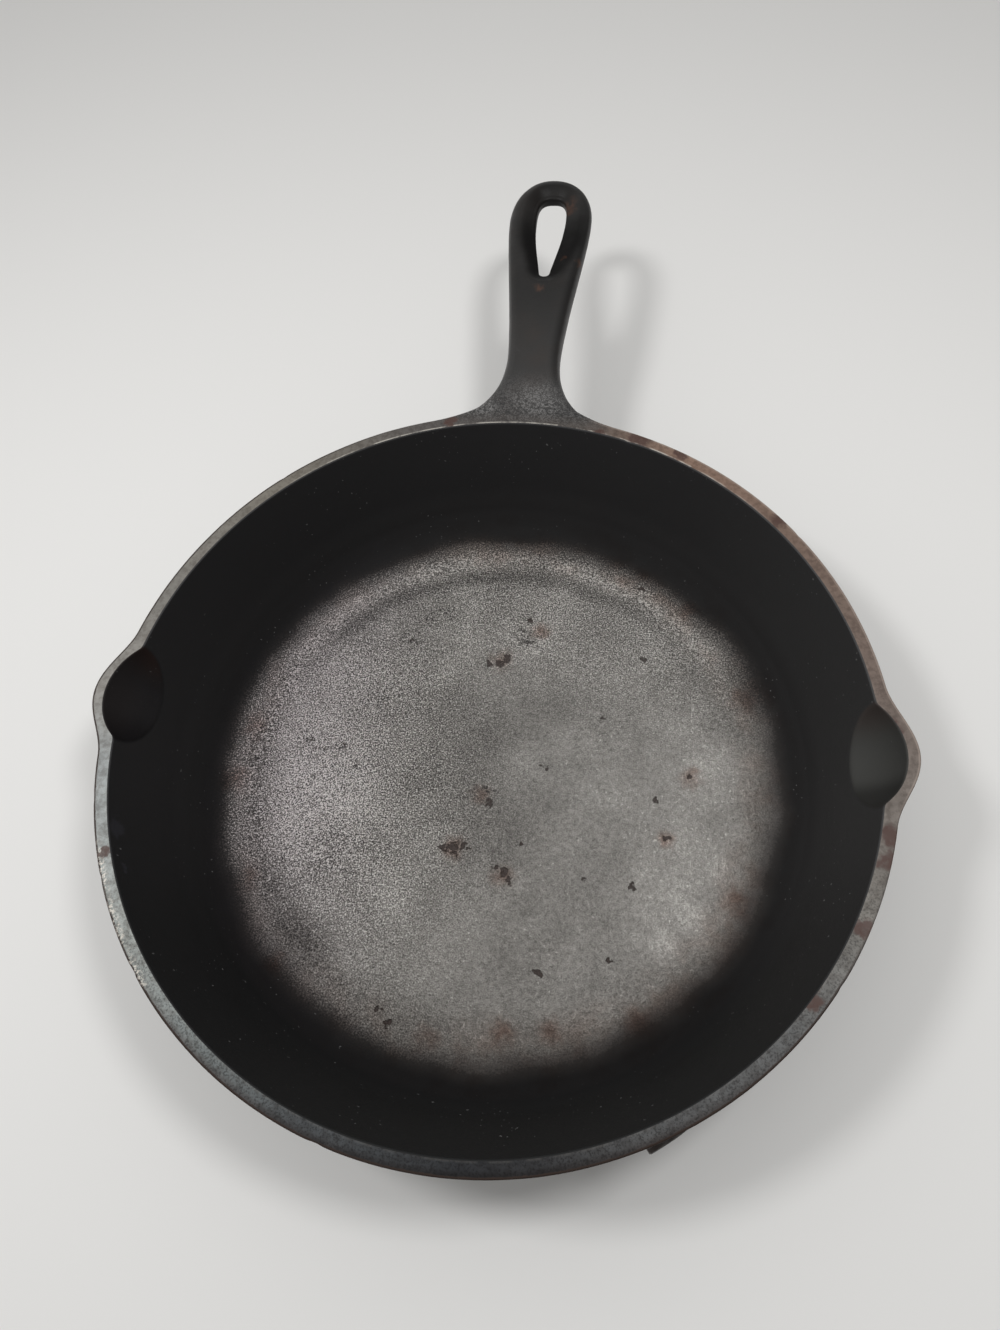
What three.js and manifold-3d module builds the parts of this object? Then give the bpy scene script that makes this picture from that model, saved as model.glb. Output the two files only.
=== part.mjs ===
// A cast iron skillet with two pour spouts and a tapered handle that ends in a hanging eye.
// Millimetres, +Z up. The origin is the centre of the pan's underside, and the handle points along +Y.
//
// The skillet is one casting. It is built here as one casting, and then divided on flat planes into its
// natural zones, which meet face to face and together are exactly the casting.

import * as THREE from 'three';
import { mergeVertices } from 'three/addons/utils/BufferGeometryUtils.js';
import Module from 'manifold-3d';

// ---- driving dimensions ----------------------------------------------------------------------------------

// pan
const rimRadius = 133.35;            // 10.5 inches across the rim
const panHeight = 50.8;              // 2 inches from table to rim
const rimWidth = 5.1;                // the flat ground face on top of the wall
const floorThickness = 3.9;
const outerSlope = 20;               // degrees that the wall leans out, outside
const innerSlope = 18.6;             // and inside, so the wall thins towards the floor
const coveRadius = 12;               // inside, where the floor turns up into the wall
const baseCornerRadius = 9;          // outside, where the wall turns under

// pour spouts, at -X and +X
const spoutReach = 6.8;              // how far the outside stands beyond the rim's circle
const spoutHalfWidth = 24.4;         // along the rim, from the middle to where the shoulder fades out
const spoutDrop = 24;                // the bulge fades into the wall this far below the rim
const spoutFullDrop = 6;             // and is at its full reach down to here
const scoopRadius = 21.6;            // the thumb-shaped scoop is a piece of a ball
const scoopInset = 13.9;             // the ball's centre lies this far inside the rim's inner edge
const scoopLift = 4;                 // and this far above the rim

// gate stub, the rough remnant where the iron was poured in, outside at the front right
const gateAngle = -64.2;             // degrees round from +X, where its blunt end starts
const gateLength = 20;               // along the rim
const gateHeight = 10;
const gateDepth = 6;                 // its middle lies this far below the rim
const gateProud = 4;                 // how far it stands off the wall
const gateBluntness = 0.75;          // share of its full size at the broken end
const gateGrowth = 8;                // how soon it reaches its full size behind that end
const gateTaper = 0.8;               // less keeps its size longer towards the thin end
const gateTip = 0.04;                // share of its full size at the thin end

// handle, seen from above; each reach is measured outwards from the rim
const rootHalfWidth = 38;            // where the fillets leave the rim's circle
const rootEasing = 15.2;             // how long the outline keeps to the rim there
const neckReach = 32.2;
const neckHalfWidth = 11.2;
const neckEasing = 22.8;             // how long the outline keeps straight on the pan side of the neck
const gripEasing = 19.5;             // and at both ends of the grip
const eyeReach = 112.5;              // where the eye is widest
const eyeHalfWidth = 18.7;
const handleReach = 140.2;           // to the tip
const tipSquareness = 2.2;           // 2 would end the handle in an ellipse, more is squarer
const eyeBorder = 12;                // of iron on either side of the hanging hole
const tipBorder = 11;                // and between the hole and the handle's tip
const holeWideReach = 114.7;         // where the hole is widest
const holeTipReach = 77.6;           // the hole's narrow end
const holeTipRadius = 2.3;
const holeTipSpread = 1.8;           // how fast the sides part there
const holeEasing = 12.3;
const holeSquareness = 3;            // of the hole's wide end

// handle, seen from the side
const handleRise = 3.6;              // the top climbs this far above the rim on its way to the eye
const riseStart = 12;                // reach where the climb starts
const riseEnd = 75;                  // and where it is complete
const topEdgeRadius = 3;
const neckThickness = 10;
const eyeThickness = 7.2;
const rimEdgeRadius = 0.6;           // which the handle's top edge sharpens to, where it joins the rim
const rootDepth = 27;                // the fillet under the root lands on the wall this far below the rim
const filletReach = 24;              // and starts this far out
const filletHalfWidth = 27;          // it fades out sideways this far from the middle
const gripSquareness = 3.2;          // the underside is a rounded box
const holeFlare = 3;                 // the hole widens by this much at its top edge
const holeFlareDepth = 2.6;

// where the casting is divided into zones
const spoutZoneHalfWidth = 27;
const spoutZoneDrop = 27;
const rootZoneHalfWidth = 41;
const rootZoneDrop = 31;
const gripEndReach = 70;

// how finely the round forms are faceted
const panColumns = 132;
const columnBunching = 0.35;         // the columns stand closer together at the spouts, by this share
const floorSegments = 96;
const coveSteps = 6;
const cornerSteps = 4;
const bulgeSteps = 8;
const scoopSegments = 40;
const outlineSteps = 12;
const keelSteps = 8;
const gateSteps = 7;
const gateSides = 12;

// ---- small helpers ---------------------------------------------------------------------------------------

const wasm = await Module();
wasm.setup();

const radians = THREE.MathUtils.degToRad;
const smoothstep = THREE.MathUtils.smoothstep;

function toSolid(geometry) {
  geometry.deleteAttribute('normal');
  geometry.deleteAttribute('uv');
  const merged = mergeVertices(geometry, 1e-5);
  const mesh = new wasm.Mesh({
    numProp: 3,
    vertProperties: new Float32Array(merged.attributes.position.array),
    triVerts: new Uint32Array(merged.index.array),
  });
  return new wasm.Manifold(mesh);
}

function toGeometry(solid) {
  const mesh = solid.getMesh();
  const geometry = new THREE.BufferGeometry();
  geometry.setAttribute('position', new THREE.BufferAttribute(mesh.vertProperties, 3));
  geometry.setIndex(new THREE.BufferAttribute(mesh.triVerts, 1));
  geometry.computeVertexNormals();
  return geometry;
}

// A skin over rows of points. Every row is a closed loop with as many points as its neighbours.
// The rows either close on themselves too, like a tyre, or get a flat cap at each end.
function skin(rows, closesOnItself) {
  const count = rows[0].length;
  const points = rows.flat();
  const triangles = [];
  const lastRow = closesOnItself ? rows.length : rows.length - 1;
  for (let i = 0; i < lastRow; i += 1) {
    for (let j = 0; j < count; j += 1) {
      const a = i * count + j;
      const b = i * count + (j + 1) % count;
      const c = ((i + 1) % rows.length) * count + (j + 1) % count;
      const d = ((i + 1) % rows.length) * count + j;
      triangles.push(a, b, c, a, c, d);
    }
  }
  if (!closesOnItself) {
    const ends = [rows[0], rows[rows.length - 1]];
    ends.forEach((row, end) => {
      const middle = points.length;
      const first = end * (rows.length - 1) * count;
      points.push(row.reduce((sum, p) => sum.add(p), new THREE.Vector3()).divideScalar(count));
      for (let j = 0; j < count; j += 1) {
        const a = first + j;
        const b = first + (j + 1) % count;
        triangles.push(middle, end ? a : b, end ? b : a);
      }
    });
  }
  const geometry = new THREE.BufferGeometry().setFromPoints(points);
  geometry.setIndex(triangles);
  return toSolid(geometry);
}

function box(low, high) {
  const geometry = new THREE.BoxGeometry(high.x - low.x, high.y - low.y, high.z - low.z);
  geometry.translate((low.x + high.x) / 2, (low.y + high.y) / 2, (low.z + high.z) / 2);
  return toSolid(geometry);
}

// ---- pan -------------------------------------------------------------------------------------------------

function wallOutside(z) {
  return rimRadius - (panHeight - z) * Math.tan(radians(outerSlope));
}

function wallInside(z) {
  return rimRadius - rimWidth - (panHeight - z) * Math.tan(radians(innerSlope));
}

// where an arc that is tangent to a flat and to a wall leaning out by slope begins on the flat
function arcStart(wallAtFlat, radius, slope) {
  return wallAtFlat - radius * Math.tan(radians(45 - slope / 2));
}

const baseRadius = arcStart(wallOutside(0), baseCornerRadius, outerSlope);
const baseCornerTop = baseCornerRadius * (1 - Math.sin(radians(outerSlope)));
const coveStart = arcStart(wallInside(floorThickness), coveRadius, innerSlope);

function outsideRadius(z) {
  if (z >= baseCornerTop) {
    return wallOutside(z);
  }
  return baseRadius + Math.sqrt(baseCornerRadius ** 2 - (baseCornerRadius - z) ** 2);
}

function spoutBulge(angle, z) {
  const fromSpout = Math.asin(Math.abs(Math.sin(angle)));
  const across = Math.min(1, fromSpout * rimRadius / spoutHalfWidth);
  const down = smoothstep(z, panHeight - spoutDrop, panHeight - spoutFullDrop);
  return spoutReach * Math.cos(across * Math.PI / 2) ** 2 * down;
}

function makePanFloor() {
  const profile = [new THREE.Vector2(0, 0), new THREE.Vector2(baseRadius, 0)];
  for (let i = 1; i <= cornerSteps; i += 1) {
    const z = floorThickness * (i / cornerSteps) ** 2;
    profile.push(new THREE.Vector2(outsideRadius(z), z));
  }
  profile.push(new THREE.Vector2(0, floorThickness));
  const geometry = new THREE.LatheGeometry(profile, floorSegments);
  return toSolid(geometry.rotateX(Math.PI / 2));
}

// Heights of the outside's rings from the rim down, closer together where the spouts bulge.
function outsideHeights() {
  const heights = [];
  for (let i = 0; i <= bulgeSteps; i += 1) {
    heights.push(panHeight - spoutDrop * i / bulgeSteps);
  }
  for (let i = 0; i <= cornerSteps; i += 1) {
    heights.push(THREE.MathUtils.lerp(baseCornerTop, floorThickness, i / cornerSteps));
  }
  return heights;
}

function makeWallRing() {
  const heights = outsideHeights();
  const rows = [];
  for (let i = 0; i < panColumns; i += 1) {
    const even = 2 * Math.PI * i / panColumns;
    const angle = even - columnBunching * Math.sin(2 * even);
    const profile = [];
    for (let k = 0; k <= coveSteps; k += 1) {
      const turn = radians(90 - innerSlope) * k / coveSteps;
      const r = coveStart + coveRadius * Math.sin(turn);
      profile.push([r, floorThickness + coveRadius * (1 - Math.cos(turn))]);
    }
    profile.push([wallInside(panHeight), panHeight]);
    for (const z of heights) {
      profile.push([outsideRadius(z) + spoutBulge(angle, z), z]);
    }
    rows.push(profile.map(([r, z]) => new THREE.Vector3(r * Math.cos(angle), r * Math.sin(angle), z)));
  }
  return skin(rows, true);
}

function makeScoop(side) {
  const geometry = new THREE.SphereGeometry(scoopRadius, scoopSegments, scoopSegments / 2);
  const centre = rimRadius - rimWidth - scoopInset;
  return toSolid(geometry.translate(side * centre, 0, panHeight + scoopLift));
}

// Half-round sections that follow the wall. The stub is blunt where it was broken off, then tapers away.
function makeGateStub() {
  const middle = panHeight - gateDepth;
  const rows = [];
  for (let i = 0; i <= gateSteps; i += 1) {
    const along = (i / gateSteps) ** 2;
    const swelling = Math.min(1, gateBluntness + gateGrowth * along);
    const size = swelling * (1 - along) ** gateTaper + gateTip;
    const angle = radians(gateAngle) + gateLength * along / rimRadius;
    const row = [];
    for (let k = 0; k < gateSides; k += 1) {
      const turn = 2 * Math.PI * k / gateSides;
      const z = middle + size * gateHeight / 2 * Math.cos(turn);
      const r = wallOutside(z) + size * gateProud * Math.sin(turn);
      row.push(new THREE.Vector3(r * Math.cos(angle), r * Math.sin(angle), z));
    }
    rows.push(row);
  }
  return skin(rows, false);
}

// ---- handle ----------------------------------------------------------------------------------------------

// Outline of the handle's right side as points (half width, y), from the rim's circle to the tip.
function handleOutline() {
  const rootY = Math.sqrt(rimRadius ** 2 - rootHalfWidth ** 2);
  const neckY = rimRadius + neckReach;
  const eyeY = rimRadius + eyeReach;
  const tipLength = handleReach - eyeReach;
  const root = new THREE.Vector2(rootHalfWidth, rootY);
  const neck = new THREE.Vector2(neckHalfWidth, neckY);
  const eye = new THREE.Vector2(eyeHalfWidth, eyeY);
  const alongRim = new THREE.Vector2(-rootY, rootHalfWidth).setLength(rootEasing);
  const flare = new THREE.CubicBezierCurve(
    root,
    root.clone().add(alongRim),
    new THREE.Vector2(neckHalfWidth, neckY - neckEasing),
    neck,
  );
  const grip = new THREE.CubicBezierCurve(
    neck,
    new THREE.Vector2(neckHalfWidth, neckY + gripEasing),
    new THREE.Vector2(eyeHalfWidth, eyeY - gripEasing),
    eye,
  );
  const points = [...flare.getPoints(outlineSteps), ...grip.getPoints(outlineSteps).slice(1)];
  for (let i = 1; i <= outlineSteps; i += 1) {
    const turn = Math.PI / 2 * i / (outlineSteps + 0.4);
    const across = Math.cos(turn) ** (2 / tipSquareness);
    const along = Math.sin(turn) ** (2 / tipSquareness);
    points.push(new THREE.Vector2(eyeHalfWidth * across, eyeY + tipLength * along));
  }
  return points;
}

function handleTop(y) {
  return panHeight + handleRise * smoothstep(y, rimRadius + riseStart, rimRadius + riseEnd);
}

// How far the underside lies below the top. A fillet in the form of a quarter ellipse leads down to the wall.
function handleDepth(x, y) {
  const thinning = smoothstep(y, rimRadius + neckReach, rimRadius + eyeReach);
  const plain = THREE.MathUtils.lerp(neckThickness, eyeThickness, thinning);
  const outwards = THREE.MathUtils.clamp((Math.hypot(x, y) - rimRadius) / filletReach, 0, 1);
  const sideways = Math.min(1, Math.abs(x) / filletHalfWidth);
  const drop = (rootDepth - plain) * Math.cos(sideways * Math.PI / 2) ** 2;
  return plain + drop * (1 - Math.sqrt(1 - (1 - outwards) ** 2));
}

// Next to the pan the handle leans with the wall, so that it grows out of it without a ledge.
function leanWithWall(point, top) {
  const reach = Math.hypot(point.x, point.y);
  const share = 1 - smoothstep(reach, rimRadius, rimRadius + neckReach);
  const shift = share * (top - point.z) * Math.tan(radians(outerSlope));
  point.x *= 1 - shift / reach;
  point.y *= 1 - shift / reach;
  return point;
}

// One cross-section of the handle: a flat top with rounded edges over a rounded box.
function handleSection(halfWidth, y) {
  const top = handleTop(y);
  const beyondRim = Math.hypot(halfWidth, y) - rimRadius;
  const softened = rimEdgeRadius + Math.max(0, beyondRim) / 2;
  const edge = Math.min(topEdgeRadius, softened, halfWidth / 2);
  const right = [];
  for (let i = 0; i <= 3; i += 1) {
    const turn = Math.PI / 2 * i / 3;
    right.push([halfWidth - edge + edge * Math.sin(turn), top - edge + edge * Math.cos(turn)]);
  }
  for (let i = 1; i < keelSteps; i += 1) {
    const turn = Math.PI / 2 * i / keelSteps;
    const x = halfWidth * Math.cos(turn) ** (2 / gripSquareness);
    const down = Math.sin(turn) ** (2 / gripSquareness);
    right.push([x, top - edge - (handleDepth(x, y) - edge) * down]);
  }
  const left = right.map(([x, z]) => [-x, z]).reverse();
  const loop = [[0, top], ...right, [0, top - handleDepth(0, y)], ...left];
  return loop.map(([x, z]) => leanWithWall(new THREE.Vector3(x, y, z), top));
}

function makeHandleBar() {
  const outline = handleOutline();
  const buriedY = wallOutside(panHeight - rootDepth) - rimWidth / 2;
  const rows = [handleSection(rootHalfWidth, buriedY)];
  for (const point of outline) {
    rows.push(handleSection(point.x, point.y));
  }
  return skin(rows, false);
}

// Outline of the hanging hole's right side, from its narrow end to its wide end, and its mirror image.
function holeOutline(grow) {
  const tipY = rimRadius + holeTipReach;
  const wideY = rimRadius + holeWideReach;
  const endLength = handleReach - tipBorder - holeWideReach;
  const wide = eyeHalfWidth - eyeBorder;
  const side = new THREE.CubicBezierCurve(
    new THREE.Vector2(holeTipRadius, tipY + holeTipRadius),
    new THREE.Vector2(holeTipRadius * holeTipSpread, tipY + holeTipRadius + holeEasing),
    new THREE.Vector2(wide, wideY - holeEasing),
    new THREE.Vector2(wide, wideY),
  );
  const right = [];
  for (let i = 1; i < 4; i += 1) {
    const turn = Math.PI / 2 * i / 4;
    const y = tipY + holeTipRadius * (1 - Math.cos(turn));
    right.push(new THREE.Vector2(holeTipRadius * Math.sin(turn), y));
  }
  right.push(...side.getPoints(outlineSteps));
  for (let i = 1; i < 8; i += 1) {
    const turn = Math.PI / 2 * i / 8;
    const across = Math.cos(turn) ** (2 / holeSquareness);
    const along = Math.sin(turn) ** (2 / holeSquareness);
    right.push(new THREE.Vector2(wide * across, wideY + endLength * along));
  }
  const tip = new THREE.Vector2(0, tipY);
  const end = new THREE.Vector2(0, wideY + endLength);
  const left = right.map((p) => new THREE.Vector2(-p.x, p.y)).reverse();
  const loop = [tip, ...right, end, ...left];
  return loop.map((point, i) => {
    const before = loop[(i + loop.length - 1) % loop.length];
    const after = loop[(i + 1) % loop.length];
    const along = after.clone().sub(before).normalize();
    return new THREE.Vector2(point.x + along.y * grow, point.y - along.x * grow);
  });
}

function makeHangingHole() {
  const top = panHeight + handleRise;
  const clear = 2;
  const levels = [
    [top - eyeThickness - clear, 0],
    [top - holeFlareDepth, 0],
    [top - holeFlareDepth / 3, holeFlare / 3],
    [top, holeFlare],
    [top + clear, holeFlare],
  ];
  const rows = levels.map(([z, grow]) => holeOutline(grow).map((p) => new THREE.Vector3(p.x, p.y, z)));
  return skin(rows, false);
}

// What grows out of the wall is cut to start in the middle of the wall's thickness.
function makeWallMiddle() {
  const above = panHeight + rimWidth;
  const profile = [
    new THREE.Vector2(0, 0),
    new THREE.Vector2((wallInside(0) + wallOutside(0)) / 2, 0),
    new THREE.Vector2((wallInside(above) + wallOutside(above)) / 2, above),
    new THREE.Vector2(0, above),
  ];
  const geometry = new THREE.LatheGeometry(profile, floorSegments);
  return toSolid(geometry.rotateX(Math.PI / 2));
}

// ---- the casting and its zones ---------------------------------------------------------------------------

const scoops = makeScoop(1).add(makeScoop(-1));
const handleBar = makeHandleBar().subtract(makeHangingHole());
const outgrowths = handleBar.add(makeGateStub()).subtract(makeWallMiddle());
const upperCasting = makeWallRing().subtract(scoops).add(outgrowths);

const far = 2 * (rimRadius + handleReach);
const neckPlane = rimRadius + neckReach;
const gripEndPlane = rimRadius + gripEndReach;
const innerPlane = wallInside(panHeight - spoutZoneDrop) - coveRadius;

function spoutZone(side) {
  const x = [side * innerPlane, side * far].sort((a, b) => a - b);
  return box(
    new THREE.Vector3(x[0], -spoutZoneHalfWidth, panHeight - spoutZoneDrop),
    new THREE.Vector3(x[1], spoutZoneHalfWidth, far),
  );
}

const leftZone = spoutZone(-1);
const rightZone = spoutZone(1);
const rootZone = box(
  new THREE.Vector3(-rootZoneHalfWidth, 0, panHeight - rootZoneDrop),
  new THREE.Vector3(rootZoneHalfWidth, neckPlane, far),
);
const gripZone = box(
  new THREE.Vector3(-far, neckPlane, -far),
  new THREE.Vector3(far, gripEndPlane, far),
);
const eyeZone = box(
  new THREE.Vector3(-far, gripEndPlane, -far),
  new THREE.Vector3(far, far, far),
);

const seasonedIron = { color: 0x35332f, roughness: 0.55, metalness: 0.6 };
const cookingIron = { color: 0x6f6b64, roughness: 0.6, metalness: 0.5 };

const skillet = new THREE.Group();

function addZone(name, solid, finish) {
  const mesh = new THREE.Mesh(toGeometry(solid), new THREE.MeshStandardMaterial(finish));
  mesh.name = name;
  skillet.add(mesh);
}

const sideWall = upperCasting
  .subtract(leftZone)
  .subtract(rightZone)
  .subtract(rootZone)
  .subtract(gripZone)
  .subtract(eyeZone);

addZone('pan_floor', makePanFloor(), cookingIron);
addZone('side_wall', sideWall, seasonedIron);
addZone('left_pour_spout', upperCasting.intersect(leftZone), seasonedIron);
addZone('right_pour_spout', upperCasting.intersect(rightZone), seasonedIron);
addZone('handle_root', upperCasting.intersect(rootZone), seasonedIron);
addZone('handle_grip', upperCasting.intersect(gripZone), seasonedIron);
addZone('hanging_eye', upperCasting.intersect(eyeZone), seasonedIron);

export default skillet;
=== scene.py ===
import math

import bmesh
import bpy
import numpy as np
from mathutils import Matrix, Vector, noise


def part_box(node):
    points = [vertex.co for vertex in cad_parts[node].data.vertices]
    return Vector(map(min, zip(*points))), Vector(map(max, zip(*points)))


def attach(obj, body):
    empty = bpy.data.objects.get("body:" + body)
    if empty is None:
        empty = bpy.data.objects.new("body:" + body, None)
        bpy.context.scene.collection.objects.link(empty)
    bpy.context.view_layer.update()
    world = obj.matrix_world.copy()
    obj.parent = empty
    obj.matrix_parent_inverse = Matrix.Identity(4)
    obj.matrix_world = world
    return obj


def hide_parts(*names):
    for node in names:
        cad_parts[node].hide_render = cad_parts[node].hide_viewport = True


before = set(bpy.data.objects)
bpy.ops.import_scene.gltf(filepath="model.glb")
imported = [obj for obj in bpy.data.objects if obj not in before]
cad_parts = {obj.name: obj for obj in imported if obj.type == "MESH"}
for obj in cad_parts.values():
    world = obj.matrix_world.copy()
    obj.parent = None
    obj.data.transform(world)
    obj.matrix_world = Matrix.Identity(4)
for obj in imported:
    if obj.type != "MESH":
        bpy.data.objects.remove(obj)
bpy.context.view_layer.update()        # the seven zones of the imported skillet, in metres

mm = 0.001
print("frame loaded:", sorted(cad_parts))

wallLow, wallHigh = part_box("side_wall")
gripLow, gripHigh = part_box("handle_grip")
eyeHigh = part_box("hanging_eye")[1]
spoutLow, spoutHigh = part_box("right_pour_spout")
rootLow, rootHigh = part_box("handle_root")
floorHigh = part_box("pan_floor")[1]

# sizes, in millimetres and degrees

pan = {
    "rimRadius": -wallLow.y / mm,
    "height": wallHigh.z / mm,
    "rimWidth": 5.1,
    "floorThickness": floorHigh.z / mm,
    "outerSlope": 20,
    "innerSlope": 18.6,
    "coveRadius": 12,
    "baseCorner": 9,
    "innerEdge": 0.45,      # how round the rim's edges are
    "outerEdge": 0.6,
    "floorRing": 91,        # a shallow step in the casting runs round the floor here
    "floorRingDepth": 0.22,
    "ringRise": (-3.5, 1.5),    # it rises between these places, from there
    "ringWidth": 4,         # and sinks again beyond this
}

spout = {
    "reach": spoutHigh.x / mm + wallLow.y / mm,
    "halfWidth": 24.4,
    "drop": 24,
    "fullDrop": 6,
    "scoopRadius": 21.6,
    "scoopInset": 13.9,
    "scoopLift": 4,
    "scoopEdge": 0.55,      # softness of the edge between scoop and wall
}

gateStub = {
    "angle": -64.2,
    "length": 20,
    "height": 10,
    "depth": 6,
    "proud": 3.6,
    "bluntness": 0.75,
    "growth": 8,
    "taper": 0.5,
}

handle = {
    "rootHalfWidth": 38,
    "rootEasing": 15.2,
    "neckY": gripLow.y / mm,
    "neckHalfWidth": 11.2,
    "neckEasing": 22.8,
    "gripEasing": 19.5,
    "gripEndY": gripHigh.y / mm,
    "eyeY": -wallLow.y / mm + 112.5,
    "eyeHalfWidth": eyeHigh.x / mm,
    "tipY": -wallLow.y / mm + 140.2,
    "tipSquareness": 2.2,
    "rise": (eyeHigh.z - wallHigh.z) / mm,
    "riseStart": 12,        # measured outwards from the rim
    "riseEnd": 75,
    "topEdge": 3.6,
    "sideEase": 26,         # the root's side is as deep as the neck's where it stands this far off the rim
    "neckThickness": 10,
    "eyeThickness": 7.2,
    "squareness": 3.2,      # of the rounded underside
    "sideInset": 5,         # how far in from the outline the side turns into the underside
    "insetShare": 0.45,     # but no further than this share of what stands out past the rim
    "rootDepth": 27,
    "filletReach": 24,
    "filletHalfWidth": 27,
    "smallFillet": 4,
    "dish": 0.25,           # the top of the grip is slightly hollow between its borders
    "dishBorder": 2.6,
    "dishEase": 3.4,
    "dishStart": (8, 30),   # it comes in between these places, outwards from the rim
    "dishEnd": (-14, 6),    # and goes out between these, from the hole's tip
}

hole = {
    "border": 12,           # of iron on either side
    "tipBorder": 11,        # and between the hole and the handle's tip
    "wideY": -wallLow.y / mm + 114.7,
    "tipY": -wallLow.y / mm + 77.6,
    "tipRadius": 2.3,
    "tipSpread": 1.8,       # how fast the sides part there
    "easing": 12.3,
    "squareness": 3,
    "slopeWidth": 6.2,      # the ring's top slopes down into the hole
    "slopeDepth": 2.7,
    "endSlopeDepth": 3.8,   # deeper at the wide end
    "endSlope": (-4, 12),   # which comes in between these places, from where the hole is widest
    "slopePower": 1.35,
    "edge": 1.4,
    "windowArc": 4.5,       # the hole's edge on either side of its tip that faces the grip
}

fineness = {
    "panStep": 0.72,        # degrees between columns
    "spout": (10.5, 6, 0.3),    # finer columns: how far either way, how soon, and their step
    "root": (0, 10, 0.5),
    "gate": (6, 4, 0.25),
    "flareColumns": 40,
    "windowColumns": 14,
    "floorRows": 40,
    "coveRows": 12,
    "wallRows": (6, 3, 4, 30),  # up to the root's zone, the spouts', to evenBelow and to the rim
    "evenBelow": 21,        # from so far below the rim the inner wall's rows are evenly spaced
    "rimEdgeRows": 4,
    "topRows": 16,
    "edgeRows": 5,
    "sideRows": 8,
    "underRows": 25,
    "belowSpoutRows": 4,    # the last of them
    "cornerRows": (9, 3, 8),    # to the outer corner, the height of the floor's top and the underside
    "baseRows": 6,
    "gripRows": 30,
    "eyeSideSpokes": 44,
    "eyeTipSpokes": 26,
    "ringRows": 12,
    "holeEdgeRows": 3,
    "holeWallRows": 4,
    "discRadius": 10,       # flat disc in the middle of the floor and of the underside
}

# small helpers

def smooth(x, low, high):
    t = np.clip((x - low) / (high - low), 0, 1)
    return t * t * (3 - 2 * t)


def mix(a, b, t):
    return a + (b - a) * t


def tangent(degrees):
    return math.tan(math.radians(degrees))


def quarter(count):
    return np.linspace(0, math.pi / 2, count)


def squareArc(width, length, squareness, count):    # a quarter of an ellipse, squarer above 2
    turn = quarter(count)
    power = 2 / squareness
    return np.stack([width * np.cos(turn) ** power, length * np.sin(turn) ** power], axis=1)


def bezier(p0, p1, p2, p3, count):
    t = np.linspace(0, 1, count)[:, None]
    p0, p1, p2, p3 = (np.array(p, float) for p in (p0, p1, p2, p3))
    return p0 * (1 - t) ** 3 + 3 * p1 * t * (1 - t) ** 2 + 3 * p2 * t ** 2 * (1 - t) + p3 * t ** 3


def lengthsAlong(line):
    steps = np.linalg.norm(np.diff(line, axis=0), axis=1)
    return np.concatenate([[0], np.cumsum(steps)])


def sampleAt(line, places, values=None):
    along = lengthsAlong(line)
    values = line if values is None else values
    return np.stack([np.interp(places, along, column) for column in values.T], axis=1)


def evenly(line, count):
    return sampleAt(line, np.linspace(0, lengthsAlong(line)[-1], count + 1))


def distanceTo(points, line):
    a, b = line[:-1], line[1:]
    ab = b - a
    lengthSquared = np.maximum((ab ** 2).sum(1), 1e-12)
    best = np.full(len(points), 1e9)
    batch = 4000
    for start in range(0, len(points), batch):
        p = points[start:start + batch, None, :]
        t = np.clip(((p - a) * ab).sum(2) / lengthSquared, 0, 1)
        away = p - (a + t[..., None] * ab)
        best[start:start + batch] = np.sqrt((away ** 2).sum(2)).min(1)
    return best


# outlines of the handle, seen from above

rimRadius = pan["rimRadius"]
panHeight = pan["height"]
rootY = math.sqrt(rimRadius ** 2 - handle["rootHalfWidth"] ** 2)
neckCorner = np.array([handle["neckHalfWidth"], handle["neckY"]])
eyeCorner = np.array([handle["eyeHalfWidth"], handle["eyeY"]])
mirror = np.array([-1, 1])


def flareLine(count=240):
    start = np.array([handle["rootHalfWidth"], rootY])
    alongRim = np.array([-rootY, handle["rootHalfWidth"]]) / rimRadius * handle["rootEasing"]
    return bezier(start, start + alongRim, neckCorner - [0, handle["neckEasing"]], neckCorner, count)


def gripLine(count=240):
    ease = np.array([0, handle["gripEasing"]])
    return bezier(neckCorner, neckCorner + ease, eyeCorner - ease, eyeCorner, count)


def tipLine(count=240):
    width, start = eyeCorner
    return squareArc(width, handle["tipY"] - start, handle["tipSquareness"], count) + [0, start]


def holeSide(count=200):
    wide = handle["eyeHalfWidth"] - hole["border"]
    wideY, tipY, r = hole["wideY"], hole["tipY"], hole["tipRadius"]
    turn = quarter(count // 4)
    tip = np.stack([r * np.sin(turn), tipY + r * (1 - np.cos(turn))], axis=1)
    side = bezier((r, tipY + r), (r * hole["tipSpread"], tipY + r + hole["easing"]),
                  (wide, wideY - hole["easing"]), (wide, wideY), count)
    endLength = handle["tipY"] - hole["tipBorder"] - wideY
    end = squareArc(wide, endLength, hole["squareness"], count // 2) + [0, wideY]
    end[-1, 0] = 0
    return tip, side[1:], end[1:]


def normalsOf(line):
    along = np.gradient(line, axis=0)
    along /= np.linalg.norm(along, axis=1)[:, None]
    return np.stack([along[:, 1], -along[:, 0]], axis=1)


flare = flareLine()
grip = gripLine()
tipEnd = tipLine()
outlineRight = np.concatenate([flare, grip[1:], tipEnd[1:]])
holeRight = np.concatenate(holeSide())


def distanceFrom(rightLine, points):        # the handle is the same on both sides
    return distanceTo(np.column_stack([np.abs(points[:, 0]), points[:, 1]]), rightLine)


def localHalfWidth(y):
    return np.interp(y, grip[:, 1], grip[:, 0])


# heights of the handle

def between(value, start, places):
    return smooth(value, start + places[0], start + places[1])


def baseTop(points):
    rise = (handle["riseStart"], handle["riseEnd"])
    return panHeight + handle["rise"] * between(points[:, 1], rimRadius, rise)


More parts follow.
